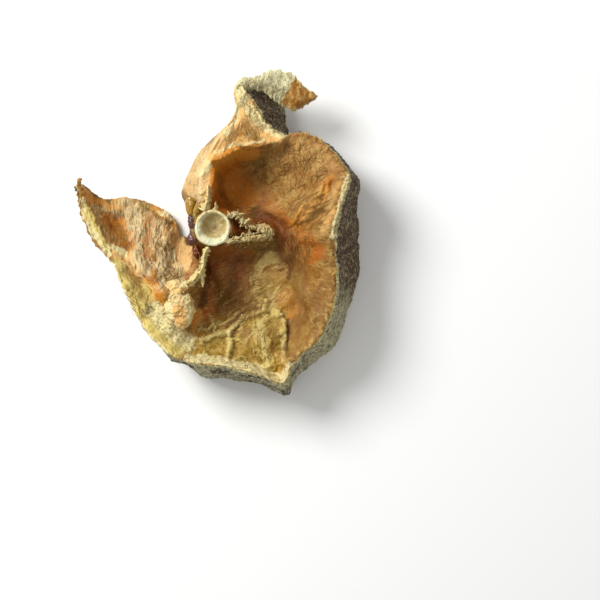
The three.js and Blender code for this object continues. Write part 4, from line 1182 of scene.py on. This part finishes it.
def ragged_group():
    """Breaks up a soft mask: noise is added to it and the sum goes through a smooth step."""
    group, g, given, out = new_group(
        "Ragged Edge",
        [("Mask", "Float", 0.0), ("Noise", "Float", 0.5), ("Rag", "Float", 0.7), ("Softness", "Float", 0.2)],
        [("Mask", "Float")])
    shake = g.times(g.less(given.outputs["Noise"], 0.5), given.outputs["Rag"])
    shaken = g.plus(given.outputs["Mask"], g.times(shake, 2.0))
    low = g.less(0.5, given.outputs["Softness"])
    high = g.plus(0.5, given.outputs["Softness"])
    step = g.add("ShaderNodeMapRange", {"interpolation_type": "SMOOTHSTEP"}, Value=shaken,
                 From_Min=low, From_Max=high)
    bare = g.math("GREATER_THAN", given.outputs["Mask"], 0.02)
    g.put(g.times(step.outputs[0], bare), out.inputs["Mask"])
    return group


def fibre_group():
    """Dried fibres: noise on the grain map, squeezed across the fibres and stretched along them. It puts out
    the streaks, from 0 to 1, and a height in which they are mixed with fine grit."""
    group, g, given, out = new_group(
        "Dried Fibres",
        [("Width", "Float", 0.5), ("Length", "Float", 5.0)],
        [("Streaks", "Float"), ("Height", "Float")])
    grain = g.add("ShaderNodeUVMap", {"uv_map": "grain"})
    parts = g.add("ShaderNodeSeparateXYZ", None, Vector=grain.outputs[0])
    across = g.math("DIVIDE", parts.outputs[0], given.outputs["Width"])
    along = g.math("DIVIDE", parts.outputs[1], given.outputs["Length"])
    place = g.add("ShaderNodeCombineXYZ", None, X=across, Y=along)
    streaks = g.add("ShaderNodeTexNoise", None, Vector=place.outputs[0], Scale=1.0, Detail=5.0, Roughness=0.65,
                    Distortion=1.2)
    grit = g.noise(g.spot(), 0.5, 4.0, 0.7)
    height = g.plus(g.times(streaks.outputs["Fac"], 0.7), g.times(grit, 0.3))
    g.put(g.span(streaks.outputs["Fac"], 0.3, 0.7), out.inputs["Streaks"])
    g.put(height, out.inputs["Height"])
    return group


def net_group():
    """A net of hair-fine fibres: a line is drawn where a noise crosses its middle value. One noise runs every way
    and two are stretched along the grain map; a broad noise thins the net out in patches."""
    group, g, given, out = new_group("Fibre Net", [("Spread", "Float", 0.5)], [("Net", "Float")])
    spot = g.spot()
    grain = g.add("ShaderNodeSeparateXYZ", None, Vector=g.add("ShaderNodeUVMap", {"uv_map": "grain"}).outputs[0])

    def stretched(wide, long):
        """Noise on the grain map, with blobs wide mm across the fibres and long mm along them."""
        place = g.add("ShaderNodeCombineXYZ", None, X=g.math("DIVIDE", grain.outputs[0], wide),
                      Y=g.math("DIVIDE", grain.outputs[1], long))
        return g.add("ShaderNodeTexNoise", None, Vector=place.outputs[0], Scale=1.0, Detail=1.5, Roughness=0.5,
                     Distortion=1.2).outputs["Fac"]

    lines = 0.0
    for source, width, share in ((g.noise(spot, 2.8, 1.5, 0.5, 1.6), 0.045, 0.9),
                                 (stretched(1.7, 8.0), 0.05, 1.0), (stretched(0.9, 5.0), 0.065, 0.8)):
        off = g.math("ABSOLUTE", g.less(source, 0.5))
        lines = g.math("MAXIMUM", lines, g.span(off, width, 0.0, 0.0, share))
    patch = g.span(g.noise(spot, 4.0, 3.0, 0.6), given.outputs["Spread"], 0.62, 0.12, 1.0)
    g.put(g.times(lines, patch), out.inputs["Net"])
    return group


def new_material(name, roughness, subsurface=0.0, specular=0.5):
    """A material with one Principled shader. Returns its graph and the shader."""
    material = bpy.data.materials.new(name)
    material.use_nodes = True
    material.node_tree.nodes.clear()
    g = Graph(material.node_tree)
    shader = g.add("ShaderNodeBsdfPrincipled")
    shader.inputs["Roughness"].default_value = roughness
    shader.inputs["Specular IOR Level"].default_value = specular
    if subsurface:
        shader.inputs["Subsurface Weight"].default_value = subsurface
        shader.inputs["Subsurface Radius"].default_value = (1.0, 0.45, 0.15)
        shader.inputs["Subsurface Scale"].default_value = 1.5 * MM
    out = g.add("ShaderNodeOutputMaterial")
    g.put(shader.outputs[0], out.inputs[0])
    return g, shader


def coat(g, shader, colour, height, strength, depth):
    """Lays the colour on the shader, and raises its surface by the height, as a bump of depth mm."""
    g.put(colour, shader.inputs["Base Color"])
    bump = g.add("ShaderNodeBump", None, Strength=strength, Distance=depth * MM, Height=height)
    g.put(bump.outputs[0], shader.inputs["Normal"])


def use(g, group, **inputs):
    """A node that uses the group, with its inputs filled in."""
    node = g.add("ShaderNodeGroup", {"node_tree": group})
    for key, value in inputs.items():
        g.put(value, node.inputs[key])
    return node


# How each stain, painted glow and painted shade is laid on: the noise that breaks its edge, how ragged and how
# soft the edge is, and its share.
STAIN_ORDER = [
    ("umber", "coarse", 0.3, 0.45, 0.92), ("blaze", "coarse", 0.35, 0.4, 0.85), ("olive", "fine", 0.4, 0.4, 0.75),
    ("fat", "coarse", 0.3, 0.4, 0.8), ("honey", "coarse", 0.35, 0.4, 0.85), ("rose", "fine", 0.35, 0.45, 0.6),
    ("salmon", "coarse", 0.35, 0.45, 0.78), ("haze", "streaks", 0.5, 0.45, 0.4),
    ("butter", "coarse", 0.25, 0.45, 0.75), ("loose", "streaks", 0.8, 0.45, 0.72),
    ("silver", "streaks", 1.1, 0.4, 0.42), ("cream", "fine", 0.85, 0.3, 0.8), ("peat", "coarse", 0.3, 0.45, 0.88),
    ("blood", "coarse", 0.2, 0.35, 0.85), ("ink", "fine", 0.3, 0.3, 0.92), ("ash", "fine", 0.5, 0.3, 0.9),
]


def flesh_material(name, colours, groups, base):
    """Amber dried flesh or its lining: a base of two tones, and the stains, painted glow and painted shade laid
    over it one after another. A net of pale fibres lies over all. Crests pale towards cream, partly as dried edges
    do and partly as a painted highlight, and hollows darken as painted shade."""
    g, shader = new_material(name, 0.42, specular=0.16)
    spot = g.spot()
    noises = {"coarse": g.noise(spot, 3.0, 5.0, 0.62, 0.4), "fine": g.noise(spot, 0.8, 4.0, 0.65)}
    grit = g.noise(spot, 0.6, 4.0, 0.7)
    fibres = use(g, groups["fibres"], Width=0.5, Length=3.5)
    noises["streaks"], height = fibres.outputs["Streaks"], fibres.outputs["Height"]
    net = use(g, groups["net"], Spread=0.4).outputs["Net"]
    light, dark = base
    colour = g.mix(g.span(noises["coarse"], 0.35, 0.65), dark, light)
    laid = {}
    for mask, breaker, rag, softness, share in STAIN_ORDER:
        edge = use(g, groups["ragged"], Mask=g.mask(mask), Noise=noises[breaker], Rag=rag, Softness=softness)
        laid[mask] = edge.outputs["Mask"]
        colour = g.mix(g.times(laid[mask], share), colour, getattr(colours, mask))
    # How far the surface stands over its neighbourhood: crests are paled, partly as the dry edges' own tone and partly
    # as a painted highlight.
    crest, swell = g.mask("crest"), g.mask("swell")
    stand = g.plus(g.times(crest, 0.5), g.times(swell, 0.35))
    stand = g.plus(stand, g.times(g.less(grit, 0.5), 2.2))
    calm = g.math("MAXIMUM", g.times(laid["umber"], 0.45), g.times(laid["peat"], 0.8))
    calm = g.less(1.0, g.math("MAXIMUM", calm, g.times(g.mask("glaze"), 0.65)))
    up = g.times(g.times(g.span(stand, 0.2, 1.1), calm), 0.5)
    colour = g.mix(up, colour, colours.pale_fibre_and_highlight)
    # Painted shade: hollows are darkened by multiplying in a deep brown.
    down = g.times(g.span(stand, -0.1, -0.9), 0.75)
    colour = g.mix(down, colour, g.mix(0.75, colour, colours.painted_hollow_shade, "MULTIPLY"))
    chalk = g.math("MAXIMUM", laid["silver"], laid["cream"])
    yellow = g.math("MAXIMUM", laid["fat"], laid["butter"])
    streak = g.times(g.times(noises["streaks"], calm), g.span(yellow, 0.0, 1.0, 0.2, 0.18))
    colour = g.mix(streak, colour, g.mix(yellow, colours.pale_fibre_and_highlight, colours.butter))
    hairs = g.times(g.times(net, calm), g.span(chalk, 0.0, 1.0, 0.45, 0.8))
    hair = g.mix(chalk, g.mix(yellow, colours.pale_fibre_and_highlight, colours.butter), colours.silver)
    colour = g.mix(hairs, colour, hair)
    g.put(colour, shader.inputs["Base Color"])
    chalky = g.math("MAXIMUM", laid["cream"], g.times(laid["silver"], 0.4))
    satin = g.span(noises["fine"], 0.2, 0.8, 0.3, 0.56)
    g.put(g.value_mix(chalky, satin, 0.78), shader.inputs["Roughness"])
    height = g.plus(height, g.times(net, 0.45))
    bump = g.add("ShaderNodeBump", None, Strength=0.5, Distance=0.3 * MM, Height=height)
    rough = g.add("ShaderNodeBump", None, Strength=0.5, Distance=0.25 * MM, Height=noises["fine"],
                  Normal=bump.outputs[0])
    g.put(rough.outputs[0], shader.inputs["Normal"])


def skin_tones(g, colours, spot, fine):
    """Dry fish skin's colour and height: grey-brown with tiny pale scales and larger worn flecks, darker, greener
    or paler where its stains lie."""
    coarse = g.noise(spot, 7.0, 4.0, 0.6)
    worn = g.noise(spot, 1.5, 5.0, 0.72, 0.6)
    grain = g.noise(spot, 0.45, 3.0, 0.7)
    scales = g.add("ShaderNodeTexVoronoi", {"feature": "F1"}, Vector=spot, Scale=1 / (0.8 * MM), Randomness=0.8)
    fleck = g.span(scales.outputs["Distance"], 0.36, 0.1)
    colour = g.mix(g.span(coarse, 0.35, 0.65), colours.skin_dark, colours.skin)
    moss = g.mix(g.span(coarse, 0.4, 0.6), colours.skin_dark, colours.moss)
    colour = g.mix(g.times(g.mask("moss"), 0.7), colour, moss)
    patchy = g.plus(g.mask("dusk"), g.times(g.less(coarse, 0.5), 0.9))
    dusk = g.times(g.span(patchy, 0.05, 0.9), 0.88)
    colour = g.mix(dusk, colour, g.mix(g.span(worn, 0.42, 0.6), colours.dusk_dark, colours.dusk))
    ash = g.mask("ash")
    colour = g.mix(ash, colour, g.mix(g.span(fine, 0.5, 0.34), colours.ash, colours.ash_dark))
    pale = g.times(fleck, g.less(0.5, g.times(dusk, 0.46)))
    colour = g.mix(pale, colour, colours.skin_fleck)
    for specks, low, high, share, tone in ((worn, 0.51, 0.6, g.less(0.9, g.times(dusk, 0.62)), colours.skin_fleck),
                                           (worn, 0.47, 0.38, 0.85, colours.skin_dark),
                                           (grain, 0.55, 0.66, g.less(0.45, g.times(dusk, 0.32)), colours.skin_fleck),
                                           (grain, 0.45, 0.33, 0.5, colours.skin_dark)):
        colour = g.mix(g.times(g.span(specks, low, high), share), colour, tone)
    height = g.plus(g.times(scales.outputs["Distance"], -0.5), g.plus(fine, g.plus(grain, worn)))
    return colour, height


def skin_material(colours):
    """Dry fish skin with a cream sawn edge."""
    g, shader = new_material("fish_skin", 0.74, specular=0.25)
    spot = g.spot()
    fine = g.noise(spot, 0.8, 4.0, 0.7)
    colour, height = skin_tones(g, colours, spot, fine)
    edge = g.span(g.plus(g.mask("rim"), g.times(g.less(fine, 0.5), 0.9)), 0.25, 0.6)
    colour = g.mix(g.times(edge, 0.9), colour, g.mix(g.span(fine, 0.35, 0.6), colours.ash_dark, colours.cream))
    coat(g, shader, colour, height, 0.8, 0.4)


def leaf_material(colours):
    """The flap's tip: pale fuzzy skin, and amber flesh where it is bare, with cream on its folds' crests as a
    painted highlight.
    """
    g, shader = new_material("flap_leaf", 0.65, specular=0.25)
    spot = g.spot()
    coarse, fine, grain = g.noise(spot, 2.4, 4.0, 0.6, 0.6), g.noise(spot, 0.7, 4.0, 0.7), g.noise(spot, 0.3, 3.0, 0.7)
    fuzz = g.mix(g.span(fine, 0.52, 0.36), colours.ash, colours.ash_dark)
    fuzz = g.mix(g.times(g.span(grain, 0.5, 0.65), 0.6), fuzz, colours.cream)
    fuzz = g.mix(g.times(g.mask("moss"), g.span(fine, 0.3, 0.6, 1.0, 0.5)), fuzz, colours.olive)
    bare = g.span(g.plus(g.mask("bare"), g.times(g.less(fine, 0.5), 0.6)), 0.4, 0.6)
    # The thick tone takes a little of the painted glow's orange.
    thick, thin = g.mix(0.8, colours.blaze, colours.flesh), g.mix(0.5, colours.honey, colours.butter)
    amber = g.mix(g.times(g.span(coarse, 0.4, 0.7), 0.5), thick, thin)
    # Painted highlight: cream on the crests.
    amber = g.mix(g.times(g.span(g.mask("crest"), 0.5, 1.6), 0.5), amber, colours.cream)
    edge = g.span(g.math("ABSOLUTE", g.less(bare, 0.5)), 0.5, 0.2)
    colour = g.mix(bare, fuzz, amber)
    colour = g.mix(g.math("MAXIMUM", g.times(edge, 0.6), g.times(g.mask("edge"), 0.5)), colour, colours.cream)
    coat(g, shader, colour, g.plus(fine, grain), 0.6, 0.3)


def bone_material(colours):
    """Dry bone: smooth and pale on the vertebra, tan in its cup round a dark pit, and spongy where it is crusty.
    There its crests are paler, partly as a painted highlight, and its hollows darker as painted shade.
    """
    g, shader = new_material("dried_bone", 0.5, subsurface=0.1, specular=0.45)
    spot = g.spot()
    coarse, fine = g.noise(spot, 2.2, 4.0, 0.6), g.noise(spot, 0.6, 4.0, 0.7)
    colour = g.mix(g.span(coarse, 0.35, 0.65), colours.bone, g.mix(0.5, colours.bone, colours.crust))
    tan = g.times(g.mask("cup"), g.span(coarse, 0.3, 0.6, 0.5, 1.0))
    colour = g.mix(tan, colour, colours.bone_cup)
    colour = g.mix(g.times(g.mask("pit"), 0.85), colour, colours.bone_pit)
    crusty = g.mix(g.span(fine, 0.35, 0.65), colours.crust_dark, colours.crust)
    crest = g.plus(g.mask("crest"), g.times(g.less(fine, 0.5), 1.5))
    # Cream on the crests, partly a painted highlight, and umber in the hollows as painted shade.
    crusty = g.mix(g.times(g.span(crest, 0.2, 1.2), 0.7), crusty, colours.cream)
    crusty = g.mix(g.times(g.span(crest, -0.5, -1.3), 0.75), crusty, colours.umber)
    colour = g.mix(g.mask("crust"), colour, crusty)
    coat(g, shader, colour, fine, 0.5, 0.25)


def film_material(colours):
    """Dried blood and clear fat: smooth, dark or golden, and shiny. The golden orange is partly a painted glow,
    and rose on the crests is a painted highlight.
    """
    g, shader = new_material("wet_film", 0.3, specular=0.5)
    shader.inputs["Coat Weight"].default_value = 0.3
    spot = g.spot()
    coarse = g.noise(spot, 1.6, 4.0, 0.6)
    colour = g.mix(g.span(coarse, 0.4, 0.65), colours.blood, colours.blaze)
    for mask, share in (("blaze", 0.8), ("fat", 0.85), ("blood", 0.8), ("ink", 0.9)):
        laid = g.times(g.mask(mask), g.span(coarse, 0.25, 0.45, 0.4 * share, share))
        colour = g.mix(laid, colour, getattr(colours, mask))
    # Painted highlight: rose laid on the crests.
    glint = g.times(g.span(g.mask("crest"), 0.5, 1.6), 0.3)
    colour = g.mix(glint, colour, colours.rose)
    g.put(colour, shader.inputs["Base Color"])


# ---------------------------------------------------------------- settings

def colour_property(name, description, tone):
    """A colour setting for a PropertyGroup."""
    return bpy.props.FloatVectorProperty(name=name, description=description, subtype="COLOR", size=4,
                                         min=0, max=1, default=tone)


class StockfishColours(bpy.types.PropertyGroup):
    """The tones of the flesh, its stains, the skin and the bone."""
    flesh: colour_property("Flesh", "Light tone of the dried flesh", paint(140, 96, 42))
    flesh_dark: colour_property("Flesh, dark", "Dark tone of the dried flesh", paint(116, 68, 18))
    lining: colour_property("Lining", "Light tone of the belly lining", paint(134, 94, 50))
    lining_dark: colour_property("Lining, dark", "Dark tone of the belly lining", paint(104, 68, 28))
    # Also the crests' pale tone, which is partly a painted highlight.
    pale_fibre_and_highlight: colour_property("Fibres", "Dried fibres and crests", paint(214, 184, 110))
    # On the bone's crust it darkens the hollows as painted shade.
    umber: colour_property("Umber", "Deep translucent hollows", paint(160, 80, 4))
    # Painted shade: the colour that folds and pits are darkened with.
    painted_hollow_shade: colour_property("Russet", "What folds and pits are darkened with", paint(150, 76, 14))
    # Painted glow: orange that stands in for light shining through thin flesh, over the flesh's own orange.
    blaze: colour_property("Blaze", "Thin flesh that glows orange", paint(198, 118, 16))
    olive: colour_property("Olive", "Greenish dried flesh", paint(112, 84, 22))
    fat: colour_property("Fat", "Yellow dried fat", paint(150, 118, 36))
    honey: colour_property("Honey", "Thin pale flesh of the neck and the rims", paint(234, 182, 112))
    salmon: colour_property("Salmon", "Smooth orange lining beside the bone", paint(244, 196, 130))
    # Also the painted highlight on the wet film's crests.
    butter: colour_property("Butter", "Pale yellow fat of the flank", paint(226, 206, 122))
    rose: colour_property("Rose", "Pinkish flesh", paint(188, 128, 80))
    loose: colour_property("Loose lining", "Olive sheet that lies in the lower bowl", paint(188, 170, 104))
    haze: colour_property("Haze", "Fine pale web on the loins", paint(176, 134, 78))
    silver: colour_property("Silver", "Bright belly lining", paint(222, 208, 164))
    # On the leaf's and the bone's crests it is partly a painted highlight.
    cream: colour_property("Cream", "Chalky dried edges", paint(226, 216, 160))
    # Painted shade: the dark brown of crevices and pits, and of the shadows beside walls and edges.
    peat: colour_property("Peat", "Dark brown crevices", paint(84, 38, 4))
    blood: colour_property("Blood", "Dark red dried blood", paint(128, 46, 12))
    ink: colour_property("Ink", "Dark membrane beside the bone", paint(54, 32, 44))
    skin: colour_property("Skin", "Light tone of the skin", paint(170, 160, 124))
    skin_dark: colour_property("Skin, dark", "Dark tone of the skin", paint(58, 48, 32))
    skin_fleck: colour_property("Scales", "Pale scales on the skin", paint(214, 206, 164))
    dusk: colour_property("Dusk", "The darker skin along the back and neck", paint(98, 60, 26))
    dusk_dark: colour_property("Dusk, dark", "The darkest patches of that skin", paint(48, 30, 14))
    moss: colour_property("Moss", "Olive skin along the belly", paint(168, 164, 122))
    ash: colour_property("Ash", "Pale fuzzy skin at the neck", paint(208, 202, 160))
    ash_dark: colour_property("Ash, dark", "Olive-brown specks in the pale skin", paint(124, 108, 64))
    bone: colour_property("Bone", "The vertebra", paint(214, 213, 178))
    bone_cup: colour_property("Cup", "Inside of the vertebra's cup", paint(166, 142, 86))
    bone_pit: colour_property("Pit", "The spot at the bottom of the cup", paint(120, 76, 30))
    crust: colour_property("Crust", "Crusty bone of the arch", paint(216, 194, 132))
    crust_dark: colour_property("Crust, dark", "Dark pores of the arch", paint(166, 136, 80))


class StockfishStage(bpy.types.PropertyGroup):
    """The floor, lights and camera."""
    camera_height: bpy.props.FloatProperty(name="Camera height", description="Height of the camera over the floor",
                                           default=0.7, subtype="DISTANCE", unit="LENGTH")
    picture_width: bpy.props.FloatProperty(name="Picture width", description="Width seen at the cut face",
                                           default=0.216, subtype="DISTANCE", unit="LENGTH")
    picture_x: bpy.props.FloatProperty(name="Picture centre X", description="From the backbone's axis",
                                       default=0.0313, subtype="DISTANCE", unit="LENGTH")
    picture_y: bpy.props.FloatProperty(name="Picture centre Y", description="From the backbone's axis",
                                       default=-0.0259, subtype="DISTANCE", unit="LENGTH")
    key_power: bpy.props.FloatProperty(name="Key light", description="Power of the large soft light", default=6.2,
                                       subtype="POWER", unit="POWER")
    sky: bpy.props.FloatProperty(name="Sky", description="Strength of the even light from all round", default=0.52)
    floor: colour_property("Floor", "The pale floor", paint(246, 246, 244))


# ---------------------------------------------------------------- operators

SPLINTER_SEED, CRUMB_SEED = 11, 7
# In metres: half the floor's side, the height of the cut face that the picture's width is meant at, and the lamp.
FLOOR_HALF_SIDE, CUT_FACE_HEIGHT = 1.5, 0.025
KEY_PLACE, KEY_SIZE = (-0.42, 0.34, 0.52), 0.35
SENSOR_WIDTH = 36


class STOCKFISH_OT_materials(bpy.types.Operator):
    """Makes the node groups and the materials"""
    bl_idname = "stockfish.materials"
    bl_label = "Stockfish Materials"

    def execute(self, context):
        colours = context.scene.stockfish_colours
        groups = {"ragged": ragged_group(), "fibres": fibre_group(), "net": net_group()}
        flesh_material("dried_flesh", colours, groups, (colours.flesh, colours.flesh_dark))
        flesh_material("belly_lining", colours, groups, (colours.lining, colours.lining_dark))
        skin_material(colours)
        leaf_material(colours)
        bone_material(colours)
        film_material(colours)
        return {"FINISHED"}


class STOCKFISH_OT_slice(bpy.types.Operator):
    """Builds the flesh, skin and lining of the slice as two closed halves that meet between the loins"""
    bl_idname = "stockfish.slice"
    bl_label = "Stockfish Slice"

    def execute(self, context):
        for name, span, nodes, cap_height in (("lower_slice", (0, SPLIT, 0, SPARE), ["steak"], (1, 0.4)),
                                              ("upper_slice", (SPLIT, len(SECTIONS) - 1, SPARE, 0), [], (0.4, 1))):
            grid, values, face = half_slice(*span)
            half = Skin()
            half.add_grid(grid, values, face, False, cap_height)
            half.build(name, ["dried_flesh", "fish_skin", "dried_flesh", "belly_lining"], nodes)
        return {"FINISHED"}


class STOCKFISH_OT_backbone(bpy.types.Operator):
    """Builds the vertebra with its cup, and the crusty arch beside it"""
    bl_idname = "stockfish.backbone"
    bl_label = "Stockfish Backbone"

    def execute(self, context):
        bone = Skin()
        bone.add_grid(*vertebra())
        for number, (line, widths, heights) in enumerate(ARCH_LEGS):
            grid, values = strip(line, widths, heights, rows=220, sides=64, ragged=0.6, crust=0.35, size=1.5,
                                 seed=300 + 20 * number, sharp=0.1, fray=5)
            # Holes are pressed in and painted with the pit's dark brown, which is partly painted shade in them.
            holes = smooth(0.1, 0.4, fractal(grid, 1.4, 3, 380 + number))
            grid[..., 2] = np.maximum(0, grid[..., 2] - 0.8 * holes)
            bone.add_grid(grid, dict(values, crust=1 - 0.8 * holes, pit=holes))
        splinters(bone, np.random.default_rng(SPLINTER_SEED))
        bone.build("backbone_bone", ["dried_bone"], ["backbone"])
        return {"FINISHED"}


class STOCKFISH_OT_tatters(bpy.types.Operator):
    """Builds the torn strips, the flap's tip and hook, the gristle knob and the membranes by the bone"""
    bl_idname = "stockfish.tatters"
    bl_label = "Stockfish Tatters"

    def execute(self, context):
        build_flap_tip()
        build_shreds()
        build_membranes()
        build_knob()
        return {"FINISHED"}


class STOCKFISH_OT_crumbs(bpy.types.Operator):
    """Strews dried crumbs on the crests and rims, and lays loose fibres over the flesh"""
    bl_idname = "stockfish.crumbs"
    bl_label = "Stockfish Crumbs"

    def execute(self, context):
        ground = Ground()
        draw = np.random.default_rng(CRUMB_SEED)
        build_crumbs(ground, draw)
        build_fibres(ground, draw)
        return {"FINISHED"}


class STOCKFISH_OT_stage(bpy.types.Operator):
    """Builds the pale floor, the soft lights and the camera straight above"""
    bl_idname = "stockfish.stage"
    bl_label = "Stockfish Stage"

    def execute(self, context):
        stage = context.scene.stockfish_stage
        scene = context.scene
        size = FLOOR_HALF_SIDE
        mesh = bpy.data.meshes.new("floor")
        corners = [(-size, -size, 0), (size, -size, 0), (size, size, 0), (-size, size, 0)]
        mesh.from_pydata(corners, [], [(0, 1, 2, 3)])
        floor = bpy.data.objects.new("floor", mesh)
        scene.collection.objects.link(floor)
        shader = new_material("pale_floor", 0.8, specular=0.2)[1]
        shader.inputs["Base Color"].default_value = stage.floor
        mesh.materials.append(bpy.data.materials["pale_floor"])

        middle = np.array([SPINE[0] * MM + stage.picture_x, SPINE[1] * MM + stage.picture_y])
        camera = bpy.data.objects.new("camera", bpy.data.cameras.new("camera"))
        scene.collection.objects.link(camera)
        camera.location = (middle[0], middle[1], stage.camera_height)
        camera.data.sensor_width = SENSOR_WIDTH
        camera.data.lens = SENSOR_WIDTH * (stage.camera_height - CUT_FACE_HEIGHT) / stage.picture_width
        scene.camera = camera

        key = bpy.data.objects.new("key", bpy.data.lights.new("key", "AREA"))
        key.data.shape = "DISK"
        key.data.size = KEY_SIZE
        key.data.energy = stage.key_power
        key.location = KEY_PLACE
        key.rotation_euler = (-key.location).to_track_quat("-Z", "Y").to_euler()
        scene.collection.objects.link(key)

        world = bpy.data.worlds.new("studio")
        world.use_nodes = True
        background = world.node_tree.nodes["Background"]
        background.inputs["Color"].default_value = (1, 1, 1, 1)
        background.inputs["Strength"].default_value = stage.sky
        scene.world = world
        scene.view_settings.view_transform = "Standard"
        return {"FINISHED"}


class STOCKFISH_PT_panel(bpy.types.Panel):
    """Lists the steps in the order in which they are run"""
    bl_label = "Stockfish Steak"
    bl_idname = "STOCKFISH_PT_panel"
    bl_space_type = "VIEW_3D"
    bl_region_type = "UI"
    bl_category = "Stockfish"

    def draw(self, context):
        for operator in STEPS:
            self.layout.operator(operator.bl_idname)


STEPS = [STOCKFISH_OT_materials, STOCKFISH_OT_slice, STOCKFISH_OT_backbone, STOCKFISH_OT_tatters,
         STOCKFISH_OT_crumbs, STOCKFISH_OT_stage]
CLASSES = [StockfishColours, StockfishStage, *STEPS, STOCKFISH_PT_panel]


def register():
    """Registers the classes and puts the two groups of settings on the scene."""
    for cls in CLASSES:
        bpy.utils.register_class(cls)
    bpy.types.Scene.stockfish_colours = bpy.props.PointerProperty(type=StockfishColours)
    bpy.types.Scene.stockfish_stage = bpy.props.PointerProperty(type=StockfishStage)


def unregister():
    """Takes both back."""
    del bpy.types.Scene.stockfish_stage
    del bpy.types.Scene.stockfish_colours
    for cls in reversed(CLASSES):
        bpy.utils.unregister_class(cls)


def main():
    """Registers the add-on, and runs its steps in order."""
    register()
    for operator in STEPS:
        group, name = operator.bl_idname.split(".")
        getattr(getattr(bpy.ops, group), name)()


if __name__ == "__main__":
    main()
